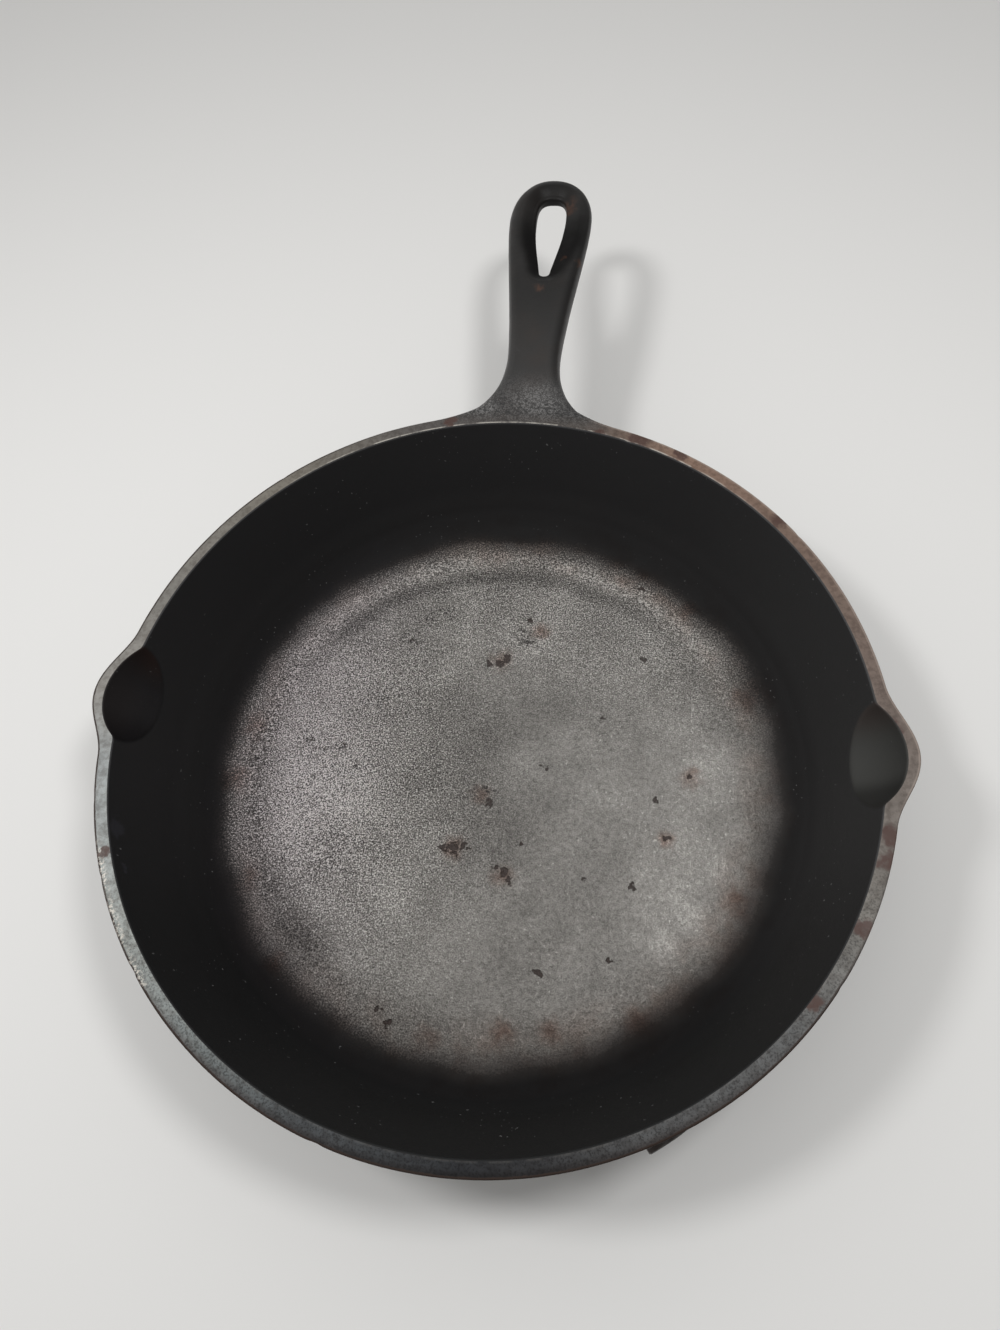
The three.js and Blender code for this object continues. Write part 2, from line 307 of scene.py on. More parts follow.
def dressedTop(points):
    y = points[:, 1]
    border = handle["dishBorder"]
    hollow = smooth(distanceFrom(outlineRight, points), border, border + handle["dishEase"])
    hollow *= between(y, rimRadius, handle["dishStart"]) * (1 - between(y, hole["tipY"], handle["dishEnd"]))
    nearHole = np.clip(1 - distanceFrom(holeRight, points) / hole["slopeWidth"], 0, 1)
    slopeDepth = mix(hole["slopeDepth"], hole["endSlopeDepth"], between(y, hole["wideY"], hole["endSlope"]))
    return baseTop(points) - handle["dish"] * hollow - slopeDepth * nearHole ** hole["slopePower"]


def fillet(u):
    return 1 - np.sqrt(1 - (1 - np.clip(u, 0, 1)) ** 2)


def thickness(points):
    y = points[:, 1]
    plain = mix(handle["neckThickness"], handle["eyeThickness"], smooth(y, handle["neckY"], handle["eyeY"]))
    beyond = np.hypot(points[:, 0], y) - rimRadius
    sideways = np.minimum(1, np.abs(points[:, 0]) / handle["filletHalfWidth"])
    drop = (handle["rootDepth"] - plain) * np.cos(sideways * math.pi / 2) ** 2
    return plain + drop * fillet(beyond / handle["filletReach"]) + \
        handle["smallFillet"] * fillet(beyond / handle["smallFillet"]) * sideways ** 2


def underDepth(points, inwards, edge):
    n = handle["squareness"]
    share = 1 - np.minimum(1, inwards / localHalfWidth(points[:, 1]))
    return edge + (thickness(points) - edge) * (1 - share ** n) ** (1 / n)


def leaned(points, depth):
    reach = np.hypot(points[:, 0], points[:, 1])
    share = 1 - smooth(reach, rimRadius, handle["neckY"])
    return points * (1 - share * depth * tangent(pan["outerSlope"]) / reach)[:, None]


def sideSteps(halfWidth, edge, depth):
    arc = squareArc(halfWidth, depth - edge, handle["squareness"], 400)
    line = np.stack([halfWidth - arc[:, 0], edge + arc[:, 1]], axis=1)
    last = np.interp(handle["sideInset"], line[:, 0], lengthsAlong(line))
    return sampleAt(line, np.linspace(0, last, fineness["sideRows"] + 1))


def edgeSteps(edge):
    turn = quarter(fineness["edgeRows"] + 1)
    return np.stack([edge * (1 - np.sin(turn)), edge * (1 - np.cos(turn))], axis=1)


# heights and radii of the pan

def wallOutside(z):
    return rimRadius - (panHeight - z) * tangent(pan["outerSlope"])


def wallInside(z):
    return rimRadius - pan["rimWidth"] - (panHeight - z) * tangent(pan["innerSlope"])


def arcStart(wallAtFlat, radius, slope):
    return wallAtFlat - radius * tangent(45 - slope / 2)


floorTop = pan["floorThickness"]
coveStart = arcStart(wallInside(floorTop), pan["coveRadius"], pan["innerSlope"])
baseRadius = arcStart(wallOutside(0), pan["baseCorner"], pan["outerSlope"])


def fromSpout(angle):
    return np.arcsin(np.abs(np.sin(angle)))


def insideRadius(angle, z):
    centre = rimRadius - pan["rimWidth"] - spout["scoopInset"]
    away = fromSpout(angle)
    level = z - panHeight - spout["scoopLift"]
    inside = spout["scoopRadius"] ** 2 - level ** 2 - (centre * np.sin(away)) ** 2
    scoop = centre * np.cos(away) + np.sign(inside) * np.sqrt(np.abs(inside))
    wall = wallInside(z)
    return (scoop + wall + np.sqrt((scoop - wall) ** 2 + spout["scoopEdge"] ** 2)) / 2


def spoutBulge(angle, z):
    across = np.minimum(1, fromSpout(angle) * rimRadius / spout["halfWidth"])
    down = smooth(z, panHeight - spout["drop"], panHeight - spout["fullDrop"])
    return spout["reach"] * np.cos(across * math.pi / 2) ** 2 * down


def gateBulge(angle, z):
    along = (np.degrees(angle) - gateStub["angle"]) * math.radians(rimRadius) / gateStub["length"]
    inside = (along > 0) & (along < 1)
    along = np.clip(along, 0, 1)
    size = np.minimum(1, gateStub["bluntness"] + gateStub["growth"] * along)
    size *= (1 - along) ** gateStub["taper"]
    across = (z - panHeight + gateStub["depth"]) / np.maximum(size * gateStub["height"] / 2, 1e-6)
    return np.where(inside, size * gateStub["proud"] * np.sqrt(np.clip(1 - across ** 2, 0, 1)), 0)


# columns round the pan

def flareEdges():
    places = np.linspace(0, lengthsAlong(flare)[-1], fineness["flareColumns"] + 1)
    outline = sampleAt(flare, places)
    normals = sampleAt(flare, places, normalsOf(flare))
    normals /= np.linalg.norm(normals, axis=1)[:, None]
    beyond = np.hypot(outline[:, 0], outline[:, 1]) - rimRadius
    edge = np.minimum(handle["topEdge"], pan["outerEdge"] + np.maximum(beyond, 0) / 2)
    return outline, normals, edge


def columnAngles():
    outline, normals, edge = flareEdges()
    inset = outline - normals * edge[:, None]
    rootAngles = np.arctan2(inset[:, 1], inset[:, 0])
    windowEdge = rootAngles[-1]
    window = np.linspace(windowEdge, math.pi - windowEdge, fineness["windowColumns"] + 1)[1:-1]
    middles = {"spout": 0, "root": math.degrees(rootAngles[0])}
    theta = np.linspace(-90, middles["root"], 4000)

    def spread(middles):
        step = np.full_like(theta, fineness["panStep"])
        for name, middle in middles.items():
            width, ease, fine = fineness[name]
            step = mix(step, fine, 1 - smooth(np.abs(theta - middle), width, width + ease))
        density = np.concatenate([[0], np.cumsum(np.diff(theta) / step[1:])])
        count = round(density[-1])
        return np.radians(np.interp(np.linspace(0, density[-1], count + 1), density, theta))[:-1]

    left = math.pi - spread(middles)[1:][::-1]
    middles["gate"] = gateStub["angle"] + gateStub["length"] / math.radians(rimRadius) / 2
    right = spread(middles)
    return np.concatenate([right, rootAngles, window, math.pi - rootAngles[::-1], left]), len(right)


angles, rootFirst = columnAngles()
columnCount = len(angles)
windowRight = rootFirst + fineness["flareColumns"]
windowLeft = windowRight + fineness["windowColumns"]
rootLast = windowLeft + fineness["flareColumns"]
direction = np.stack([np.cos(angles), np.sin(angles)], axis=1)
print("columns round the pan:", columnCount)


def nearestColumn(angle):
    return int(np.abs(angles - angle).argmin())


# rows of the pan, from the floor's middle over the rim to the underside

panRows = []
rowNames = {}


def addRow(points, z, name=None):
    z = np.broadcast_to(z, (columnCount,))
    if name:
        rowNames[name] = len(panRows)
    panRows.append(np.column_stack([points, z]))


def circle(radius):
    return direction * np.broadcast_to(radius, (columnCount,))[:, None]


def addInsideRows():
    ring, cove, edge = pan["floorRing"], pan["coveRadius"], pan["innerEdge"]
    for r in np.linspace(fineness["discRadius"], coveStart, fineness["floorRows"]):
        step = between(r, ring, pan["ringRise"]) - smooth(r, ring + pan["ringWidth"], coveStart - 1)
        addRow(circle(r), floorTop + pan["floorRingDepth"] * step, "floorEdge")
    wallTurn = math.radians(90 - pan["innerSlope"])
    for turn in np.linspace(0, wallTurn, fineness["coveRows"] + 1)[1:]:
        addRow(circle(coveStart + cove * math.sin(turn)), floorTop + cove * (1 - math.cos(turn)))
    z = floorTop + cove * (1 - math.cos(wallTurn))
    levels = (rootLow.z / mm, spoutLow.z / mm, panHeight - fineness["evenBelow"], panHeight - edge)
    names = ("insideRoot", "insideSpout", None, "insideTop")
    for top, count, name in zip(levels, fineness["wallRows"], names):
        for level in np.linspace(z, top, count + 1)[1:]:
            addRow(circle(insideRadius(angles, level)), level, name if level == top else None)
        z = top
    for turn in quarter(fineness["rimEdgeRows"] + 1)[1:]:
        z = panHeight - edge * (1 - math.sin(turn))
        addRow(circle(insideRadius(angles, z) + edge * (1 - math.cos(turn))), z, "rimInner")


addInsideRows()


def columnEdges():
    outer = circle(rimRadius + spoutBulge(angles, panHeight))
    normal = direction.copy()
    edge = np.full(columnCount, float(pan["outerEdge"]))
    edge[windowRight:windowLeft + 1] = handle["topEdge"]
    for k, (point, pointNormal, pointEdge) in enumerate(zip(*flareEdges())):
        outer[rootFirst + k] = point
        normal[rootFirst + k] = pointNormal
        outer[rootLast - k] = point * mirror
        normal[rootLast - k] = pointNormal * mirror
        edge[rootFirst + k] = edge[rootLast - k] = pointEdge
    return outer, normal, edge


outerPoint, outerNormal, outerEdge = columnEdges()
inWindow = np.zeros(columnCount, bool)
inWindow[windowRight + 1:windowLeft] = True
shares = np.linspace(1, -1, fineness["windowColumns"] + 1)


def addTopRows():
    start = panRows[-1][:, :2]
    end = outerPoint - outerNormal * outerEdge[:, None]
    end[windowRight:windowLeft + 1, 0] = shares * (handle["neckHalfWidth"] - handle["topEdge"])
    end[windowRight:windowLeft + 1, 1] = handle["neckY"]
    for u in np.linspace(0, 1, fineness["topRows"] + 1)[1:]:
        points = mix(start, end, u)
        addRow(points, dressedTop(points), "topEnd")


def addEdgeRows():
    for k in range(1, fineness["edgeRows"] + 1):
        turn = math.pi / 2 * k / fineness["edgeRows"]
        depth = outerEdge * (1 - math.cos(turn))
        points = outerPoint - outerNormal * (outerEdge * (1 - math.sin(turn)))[:, None]
        z = baseTop(points) - depth
        points = leaned(points, depth)
        addRow(points, z, "edgeEnd")


def outwardsBy(points, z):
    reach = np.hypot(points[:, 0], points[:, 1])
    angle = np.arctan2(points[:, 1], points[:, 0])
    bulge = spoutBulge(angle, z) - spoutBulge(angle, np.full_like(z, panHeight)) + gateBulge(angle, z)
    return points * (1 + bulge / reach)[:, None]


def lowerLine(column):
    rim = direction[column] * rimRadius
    start, normal, edge = outerPoint[column], outerNormal[column], outerEdge[column]
    reach = np.linalg.norm(start - rim)
    inRoot = rootFirst <= column <= rootLast
    parts = []              # each stretch as x, y and depth
    landed = edge
    if not inRoot:
        rim = start
    if inRoot and (reach > 1e-6 or inWindow[column]):
        if inWindow[column]:
            underHalfWidth = handle["neckHalfWidth"] - handle["sideInset"]
            corner = np.array([shares[column - windowRight] * underHalfWidth, handle["neckY"]])
        else:
            inwards = min(handle["sideInset"], handle["insetShare"] * reach) * np.linspace(0, 1, 60) ** 2
            plan = start - normal * inwards[:, None]
            parts.append(np.column_stack([plan, underDepth(plan, inwards, edge)]))
            corner = plan[-1]
        plan = mix(corner, rim, 1 - (1 - np.linspace(0, 1, 120)[:, None]) ** 2)
        depth = underDepth(plan, distanceFrom(outlineRight, plan), edge)
        parts.append(np.column_stack([plan, depth]))
        landed = depth[-1]
    down = np.linspace(landed, panHeight - rootLow.z / mm, 40)
    parts.append(np.column_stack([np.tile(rim, (len(down), 1)), down]))
    line = np.concatenate(parts[:1] + [part[1:] for part in parts[1:]])
    plan, depth = line[:, :2], line[:, 2]
    return np.column_stack([leaned(plan, depth), baseTop(plan) - depth])


def addLowerRows():
    sideCount, underCount, lastCount = (fineness[k] for k in ("sideRows", "underRows", "belowSpoutRows"))
    above = (spoutLow.z - rootLow.z) / mm * (underCount - lastCount) / lastCount    # spaced like the last
    plainSide = panHeight - spoutLow.z / mm - pan["outerEdge"] - above
    plainSide /= math.cos(math.radians(pan["outerSlope"]))
    neckLine = sideSteps(handle["neckHalfWidth"], handle["topEdge"], handle["neckThickness"])
    neckSide = lengthsAlong(neckLine)[-1]
    rows = np.zeros((sideCount + underCount + 1, columnCount, 3))
    for column in range(columnCount):
        line = lowerLine(column)
        side = plainSide
        if inWindow[column]:
            side = 0
        elif rootFirst <= column <= rootLast:
            reach = np.linalg.norm(outerPoint[column] - direction[column] * rimRadius)
            side = mix(plainSide, neckSide, smooth(reach, 0, handle["sideEase"]))
        below = np.linspace(side, lengthsAlong(line)[-1], underCount + 1)[1:]
        rows[:, column] = sampleAt(line, np.concatenate([np.linspace(0, side, sideCount + 1), below]))
    names = {sideCount: "underStart", sideCount + underCount - lastCount: "outsideSpout"}
    for k in range(1, len(rows)):
        points, z = rows[k][:, :2], rows[k][:, 2]
        addRow(outwardsBy(points, z), z, names.get(k, "outsideRoot"))


def addBaseRows():
    corner = pan["baseCorner"]
    wallCount, upperCount, lowerCount = fineness["cornerRows"]
    cornerTop = corner * (1 - math.sin(math.radians(pan["outerSlope"])))
    for z in np.linspace(rootLow.z / mm, cornerTop, wallCount + 1)[1:]:
        addRow(circle(wallOutside(z)), z)
    atFloorTop = math.degrees(math.asin(1 - floorTop / corner))
    for low, high, count, name in ((pan["outerSlope"], atFloorTop, upperCount, "outsideFloor"),
                                   (atFloorTop, 90, lowerCount, None)):
        for turn in np.radians(np.linspace(low, high, count + 1)[1:]):
            addRow(circle(baseRadius + corner * math.cos(turn)), corner * (1 - math.sin(turn)), name)
    for r in np.linspace(baseRadius, fineness["discRadius"], fineness["baseRows"] + 1)[1:]:
        addRow(circle(r), 0)


addTopRows()
addEdgeRows()
addLowerRows()
addBaseRows()
rowCount = len(panRows)
print("rows over the pan:", rowCount, rowNames)

# the whole casting as one closed mesh, and its zones: each node with its piece and its slot

pieces = {
    "pan_floor": ("panFloor", "cooking_iron"),
    "side_wall": ("sideWall", "seasoned_iron"),
    "left_pour_spout": ("leftPourSpout", "seasoned_iron"),
    "right_pour_spout": ("rightPourSpout", "seasoned_iron"),
    "handle_root": ("handleRoot", "seasoned_iron"),
    "handle_grip": ("handleGrip", "seasoned_iron"),
    "hanging_eye": ("hangingEye", "seasoned_iron"),
}
points = list(np.concatenate(panRows))
faces = []
faceZone = []
faceInside = []
caps = {node: [] for node in pieces}        # the flat cuts between the zones


def at(row, column):
    return row * columnCount + column % columnCount


def zoneGrid(middle, halfWidth, name):
    half = math.asin(halfWidth / mm / rimRadius)
    return (nearestColumn(middle - half), nearestColumn(middle + half),
            rowNames["inside" + name], rowNames["outside" + name])


zoneGrids = {
    "left_pour_spout": zoneGrid(math.pi, spoutHigh.y, "Spout"),
    "right_pour_spout": zoneGrid(0, spoutHigh.y, "Spout"),
    "handle_root": zoneGrid(math.pi / 2, rootHigh.x, "Root"),
}


def zoneOf(row, column):
    if row < rowNames["floorEdge"] or row >= rowNames["outsideFloor"]:
        return "pan_floor"
    for name, (first, last, low, high) in zoneGrids.items():
        if first <= column < last and low <= row < high:
            return name
    return "side_wall"


def addFace(corners, zone, inside=False):
    faces.append(corners)
    faceZone.append(zone)
    faceInside.append(inside)


def addPanFaces():
    for row in range(rowCount - 1):
        for column in range(columnCount):
            atGrip = windowRight <= column < windowLeft
            if atGrip and rowNames["topEnd"] <= row < rowNames["underStart"]:
                continue
            corners = [at(row, column), at(row + 1, column), at(row + 1, column + 1), at(row, column + 1)]
            addFace(corners, zoneOf(row, column), row < rowNames["rimInner"])
    addFace([at(0, column) for column in range(columnCount)], "pan_floor", True)
    addFace([at(rowCount - 1, column) for column in reversed(range(columnCount))], "pan_floor")


def cutsThrough(first, last, low, high):
    return [[at(low, c), at(low, c + 1), at(high, c + 1), at(high, c)] for c in range(first, last)]


def addPanCaps():
    made = {"pan_floor": cutsThrough(0, columnCount, rowNames["floorEdge"], rowNames["outsideFloor"])}
    for name, (first, last, low, high) in zoneGrids.items():
        ends = [[at(row, column) for row in range(low, high + 1)] for column in (first, last)]
        made[name] = ends + cutsThrough(first, last, low, high)
    for name, cuts in made.items():
        caps[name] += cuts
        caps["side_wall"] += cuts


addPanFaces()
addPanCaps()

# grip: rings from the neck to the eye

def addPoints(new):
    first = len(points)
    points.extend(np.asarray(new, float))
    return list(range(first, first + len(new)))


def chainRows():
    return list(range(rowNames["topEnd"], rowNames["underStart"] + 1))


def ringFrom(top, leftChain, under, rightChain):
    return top + leftChain[1:] + under[1:] + rightChain[1:-1][::-1]


def firstRing():
    top = [at(rowNames["topEnd"], c) for c in range(windowRight, windowLeft + 1)]
    under = [at(rowNames["underStart"], c) for c in range(windowLeft, windowRight - 1, -1)]
    left = [at(row, windowLeft) for row in chainRows()]
    right = [at(row, windowRight) for row in chainRows()]
    return ringFrom(top, left, under, right)


def chainPoints(outline, normal, edge):
    outline, normal = np.atleast_2d(outline), np.atleast_2d(normal)
    depth = thickness(outline)[0]
    halfWidth = localHalfWidth(outline[:, 1])[0]
    chain = []
    for inwards, down in edgeSteps(edge):
        p = outline - normal * inwards
        chain.append([*p[0], baseTop(p)[0] - down])
    chain[0][2] = dressedTop(outline - normal * edge)[0]
    for inwards, down in sideSteps(halfWidth, edge, depth)[1:]:
        p = outline - normal * inwards
        chain.append([*p[0], baseTop(p)[0] - down])
    return np.array(chain)


def topPoints(plan):
    return np.column_stack([plan, dressedTop(plan)])


def underPoints(plan):
    depth = underDepth(plan, distanceFrom(outlineRight, plan), handle["topEdge"])
    return np.column_stack([plan, baseTop(plan) - depth])


def gripRing(y):
    halfWidth = localHalfWidth(y)
    slope = np.gradient(grip[:, 0], grip[:, 1])
    lean = np.interp(y, grip[:, 1], slope)
    normal = np.array([1, -lean]) / math.hypot(1, lean)
    right = chainPoints((halfWidth, y), normal, handle["topEdge"])
    right[:, 1] = y
    left = right * [-1, 1, 1]
    topPlan = np.column_stack([shares * right[0, 0], np.full(len(shares), y)])
    underPlan = np.column_stack([-shares * right[-1, 0], np.full(len(shares), y)])
    top = topPoints(topPlan)
    under = underPoints(underPlan)
    return top, left, under, right


def addGrip():
    rings = [firstRing()]
    parts = None
    for y in np.linspace(handle["neckY"], handle["gripEndY"], fineness["gripRows"] + 1)[1:]:
        top, left, under, right = gripRing(y)
        topIndex = addPoints(top)
        leftIndex = [topIndex[-1]] + addPoints(left[1:])
        underIndex = [leftIndex[-1]] + addPoints(under[1:])
        rightIndex = [topIndex[0]] + addPoints(right[1:-1]) + [underIndex[-1]]
        rings.append(ringFrom(topIndex, leftIndex, underIndex, rightIndex))
        parts = (topIndex, leftIndex, underIndex, rightIndex)
    for before, after in zip(rings[:-1], rings[1:]):
        for k in range(len(before)):
            n = (k + 1) % len(before)
            addFace([before[k], after[k], after[n], before[n]], "handle_grip")
    for neighbour, ring in (("handle_root", rings[0]), ("hanging_eye", rings[-1])):
        caps[neighbour].append(ring)
        caps["handle_grip"].append(ring)
    return parts


gripParts = addGrip()
print("grip rings made, points so far:", len(points))

# eye: spokes from the hole out to the handle's outline

def normalsAt(line, outline, ends):
    nearest = [np.linalg.norm(outline - p, axis=1).argmin() for p in line]
    normals = normalsOf(outline)[nearest]
    for k, normal in ends.items():
        normals[k] = normal
    return normals


def outlineHalf():
    start = np.array([[localHalfWidth(handle["gripEndY"]), handle["gripEndY"]]])
    side = np.concatenate([start, grip[grip[:, 1] > handle["gripEndY"] + 1e-6]])
    tip = evenly(tipEnd, fineness["eyeTipSpokes"])
    line = np.concatenate([evenly(side, fineness["eyeSideSpokes"]), tip[1:]])
    line[-1, 0] = 0
    return line, normalsAt(line, outlineRight, {-1: (0, 1)})


def holeHalf():
    tip, side, end = holeSide()
    toWide = np.concatenate([tip, side])
    arc = hole["windowArc"]
    window = sampleAt(toWide, np.linspace(0, arc, fineness["windowColumns"] // 2 + 1))
    rest = sampleAt(toWide, np.linspace(arc, lengthsAlong(toWide)[-1], fineness["eyeSideSpokes"] + 1))
    far = evenly(np.concatenate([side[-1:], end]), fineness["eyeTipSpokes"])
    line = np.concatenate([window, rest[1:], far[1:]])
    return line, normalsAt(line, holeRight, {0: (0, -1), -1: (0, 1)})


def aroundEye(half, corner):        # from the right corner past the tip to the left one, and round the ring
    return np.concatenate([half[:corner + 1][::-1], half[1:] * mirror, half[corner + 1:-1][::-1]])


def addSpoke(p, n, start, finish):
    edge = hole["edge"]
    lip = p + n * edge
    u = np.linspace(0, 1, fineness["ringRows"] + 1)[1:, None]
    turns = quarter(fineness["holeEdgeRows"] + 1)[1:]
    top = topPoints(mix(np.array(points[start][:2]), lip, u))
    down = [[*(p + n * edge * (1 - math.sin(t))), top[-1, 2] - edge * (1 - math.cos(t))] for t in turns]
    low = baseTop(p[None])[0] - thickness(p[None])[0] + edge
    levels = np.linspace(down[-1][2], low, fineness["holeWallRows"] + 1)[1:]
    wall = [[*p, level] for level in levels]
    up = [[*(p + n * edge * (1 - math.cos(t))), low - edge * math.sin(t)] for t in turns]
    up[-1][2] = underPoints(lip[None])[0, 2]
    under = underPoints(mix(lip, np.array(points[finish][:2]), u[:-1]))
    return [start] + addPoints(np.concatenate([top, down, wall, up, under])) + [finish]


def addEye():
    windowCount = fineness["windowColumns"]
    topIndex, leftIndex, underIndex, rightIndex = gripParts
    free = [aroundEye(part, 0)[1:] for part in outlineHalf()]
    chains = {0: rightIndex, windowCount: leftIndex}
    for k, (point, normal) in enumerate(zip(*free), windowCount + 1):
        chains[k] = addPoints(chainPoints(point, normal, handle["topEdge"]))
    spokes = []
    for s, (p, n) in enumerate(zip(*(aroundEye(part, windowCount // 2) for part in holeHalf()))):
        atGrip = s <= windowCount
        start = topIndex[s] if atGrip else chains[s][0]
        finish = underIndex[-1 - s] if atGrip else chains[s][-1]
        spokes.append(addSpoke(p, n, start, finish))
    for s, a in enumerate(spokes):
        n = (s + 1) % len(spokes)
        b = spokes[n]
        for k in range(len(a) - 1):
            addFace([a[k], a[k + 1], b[k + 1], b[k]], "hanging_eye")
        if s < windowCount:
            continue
        a, b = chains[s], chains[n]
        for k in range(len(a) - 1):
            addFace([a[k], b[k], b[k + 1], a[k + 1]], "hanging_eye")


addEye()
points = np.array(points)
print("casting:", len(points), "points,", len(faces), "faces")

# how uneven the sand casting is, in millimetres

casting = {
    "broadScale": 27,
    "broadDepth": 0.2,
    "fineScale": 7,
    "fineDepth": 0.06,
    "fineShift": (9.1, 3.3, 5.7),
    "insideShare": 0.6,
    "rimShare": 0.3,
    "rimStart": (-2, 0),    # the rim's share comes in and goes out between these places across it
    "rimEnd": (5, 7),
    "calmRadius": 24,       # the floor's middle stays flat
    "baseEase": 3,          # and so does the underside, less and less up to this height
    "nickWidth": 0.8,
    "farthest": 60,         # distances along the surface are counted no further
}

nicks = [                   # angle round the rim, how far across it, length, depth
    (71.2, 0.2, 2.2, 0.5),
    (-137, 5.0, 3.0, 0.45),
    (-151, 5.1, 2.4, 0.4),
    (-163, 5.0, 1.8, 0.35),
    (-104, 5.0, 3.4, 0.4),
    (-96, 0.1, 2.0, 0.4),
    (38, 5.0, 2.6, 0.35),
    (-33, 5.0, 2.2, 0.3),
    (134, 5.0, 2.4, 0.35),
]


def vertexNormals():
    quads = np.array([face for face in faces if len(face) == 4])
    normal = np.zeros_like(points)
    across = np.cross(points[quads[:, 2]] - points[quads[:, 0]], points[quads[:, 3]] - points[quads[:, 1]])
    for corner in range(4):
        np.add.at(normal, quads[:, corner], across)
    for face in faces:
        if len(face) > 4:
            normal[face] += (0, 0, 1 if points[face[0]][2] > 1 else -1)
    length = np.linalg.norm(normal, axis=1)
    return normal / np.maximum(length, 1e-12)[:, None]


def distancePast(rowName):
    grid = points[:rowCount * columnCount].reshape(rowCount, columnCount, 3)
    steps = np.linalg.norm(np.diff(grid, axis=0), axis=2)
    along = np.concatenate([np.zeros((1, columnCount)), np.cumsum(steps, axis=0)])
    along -= along[rowNames[rowName]]
    farthest = casting["farthest"]
    values = np.full(len(points), float(farthest))
    values[:rowCount * columnCount] = np.clip(along, -farthest, farthest).ravel()
    return values


def makeUneven():
    normal = vertexNormals()
    across = distancePast("rimInner")
    reach = np.hypot(points[:, 0], points[:, 1])
    share = np.where(across < 0, casting["insideShare"], 1.0)
    onRim = smooth(across, *casting["rimStart"]) * (1 - smooth(across, *casting["rimEnd"]))
    onRim *= reach < rimRadius + spout["reach"]
    share = mix(share, casting["rimShare"], onRim)
    share *= smooth(reach, fineness["discRadius"] + 1, casting["calmRadius"])
    share *= smooth(points[:, 2], 0, casting["baseEase"])
    move = np.zeros(len(points))
    for k, p in enumerate(points):
        if share[k] > 0:
            broad = noise.noise(Vector(p / casting["broadScale"]))
            fine = noise.noise(Vector(p / casting["fineScale"]) + Vector(casting["fineShift"]))
            move[k] = casting["broadDepth"] * broad + casting["fineDepth"] * fine
    points[:] += normal * (move * share)[:, None]
    angle = np.degrees(np.arctan2(points[:, 1], points[:, 0]))
    for around, place, length, depth in nicks:
        along = (angle - around) * math.radians(rimRadius)
        dent = np.exp(-(along / length * 2) ** 2 - ((across - place) / casting["nickWidth"]) ** 2)
        points[:] -= normal * (dent * depth)[:, None]
    return across


pastOuterEdge = distancePast("topEnd")
acrossRim = makeUneven()
cornerNormals = vertexNormals()
print("surface made uneven")


rimLook = {                 # where the ground rim's look comes in and goes out, in millimetres
    "start": (-0.35, 0.15),     # across the rim
    "end": (5.3, 6.3),
    "rootStart": (-6, 8),   # outwards, from where the handle's root leaves the rim
    "rootSide": (24, 40),
    "beyondSpouts": 3,
    "handleFrom": -12,      # from here outwards the distance to the handle's outline counts
}


def distanceWhere(chosen, line, otherwise):
    found = np.full(len(points), float(otherwise))
    found[chosen] = distanceFrom(line, points[chosen][:, :2])
    return found


def surfaceValues():
    x, y = points[:, 0], points[:, 1]
    aboveRoot = between(y, rootY, rimLook["rootStart"]) * (1 - smooth(np.abs(x), *rimLook["rootSide"]))
    rimMask = smooth(acrossRim, *rimLook["start"]) * (1 - smooth(acrossRim, *rimLook["end"]))
    rimMask *= 1 - aboveRoot
    rimMask *= np.hypot(x, y) < rimRadius + spout["reach"] + rimLook["beyondSpouts"]
    onHandle = y > rootY + rimLook["handleFrom"]
    return {"acrossRim": acrossRim, "pastOuterEdge": pastOuterEdge, "rimMask": rimMask,
            "fromOutline": distanceWhere(onHandle, outlineRight, 30),
            "fromHole": distanceWhere(y > handle["neckY"], holeRight, 60)}


values = surfaceValues()

# the two finishes, with places and sizes in millimetres

wobble = {                  # spots are this much out of round
    "size": 3.2,
    "reach": (6, 6, 0),
}


def rgb(r, g, b):
    return (r, g, b, 1)


def grey(tone):
    return rgb(tone, tone, tone)


def nodesOf(tree):
    def add(kind, inputs=None, **settings):
        node = tree.nodes.new(kind)
        for name, value in settings.items():
            setattr(node, name, value)
        for name, value in (inputs or {}).items():
            if isinstance(value, bpy.types.NodeSocket):
                tree.links.new(value, node.inputs[name])
            else:
                node.inputs[name].default_value = value
        return node

    return add


def fadeBy(add, value, low, high, start=0.0, end=1.0, kind="SMOOTHSTEP"):
    limits = {"Value": value, "From Min": low, "From Max": high, "To Min": start, "To Max": end}
    return add("ShaderNodeMapRange", limits, interpolation_type=kind).outputs["Result"]


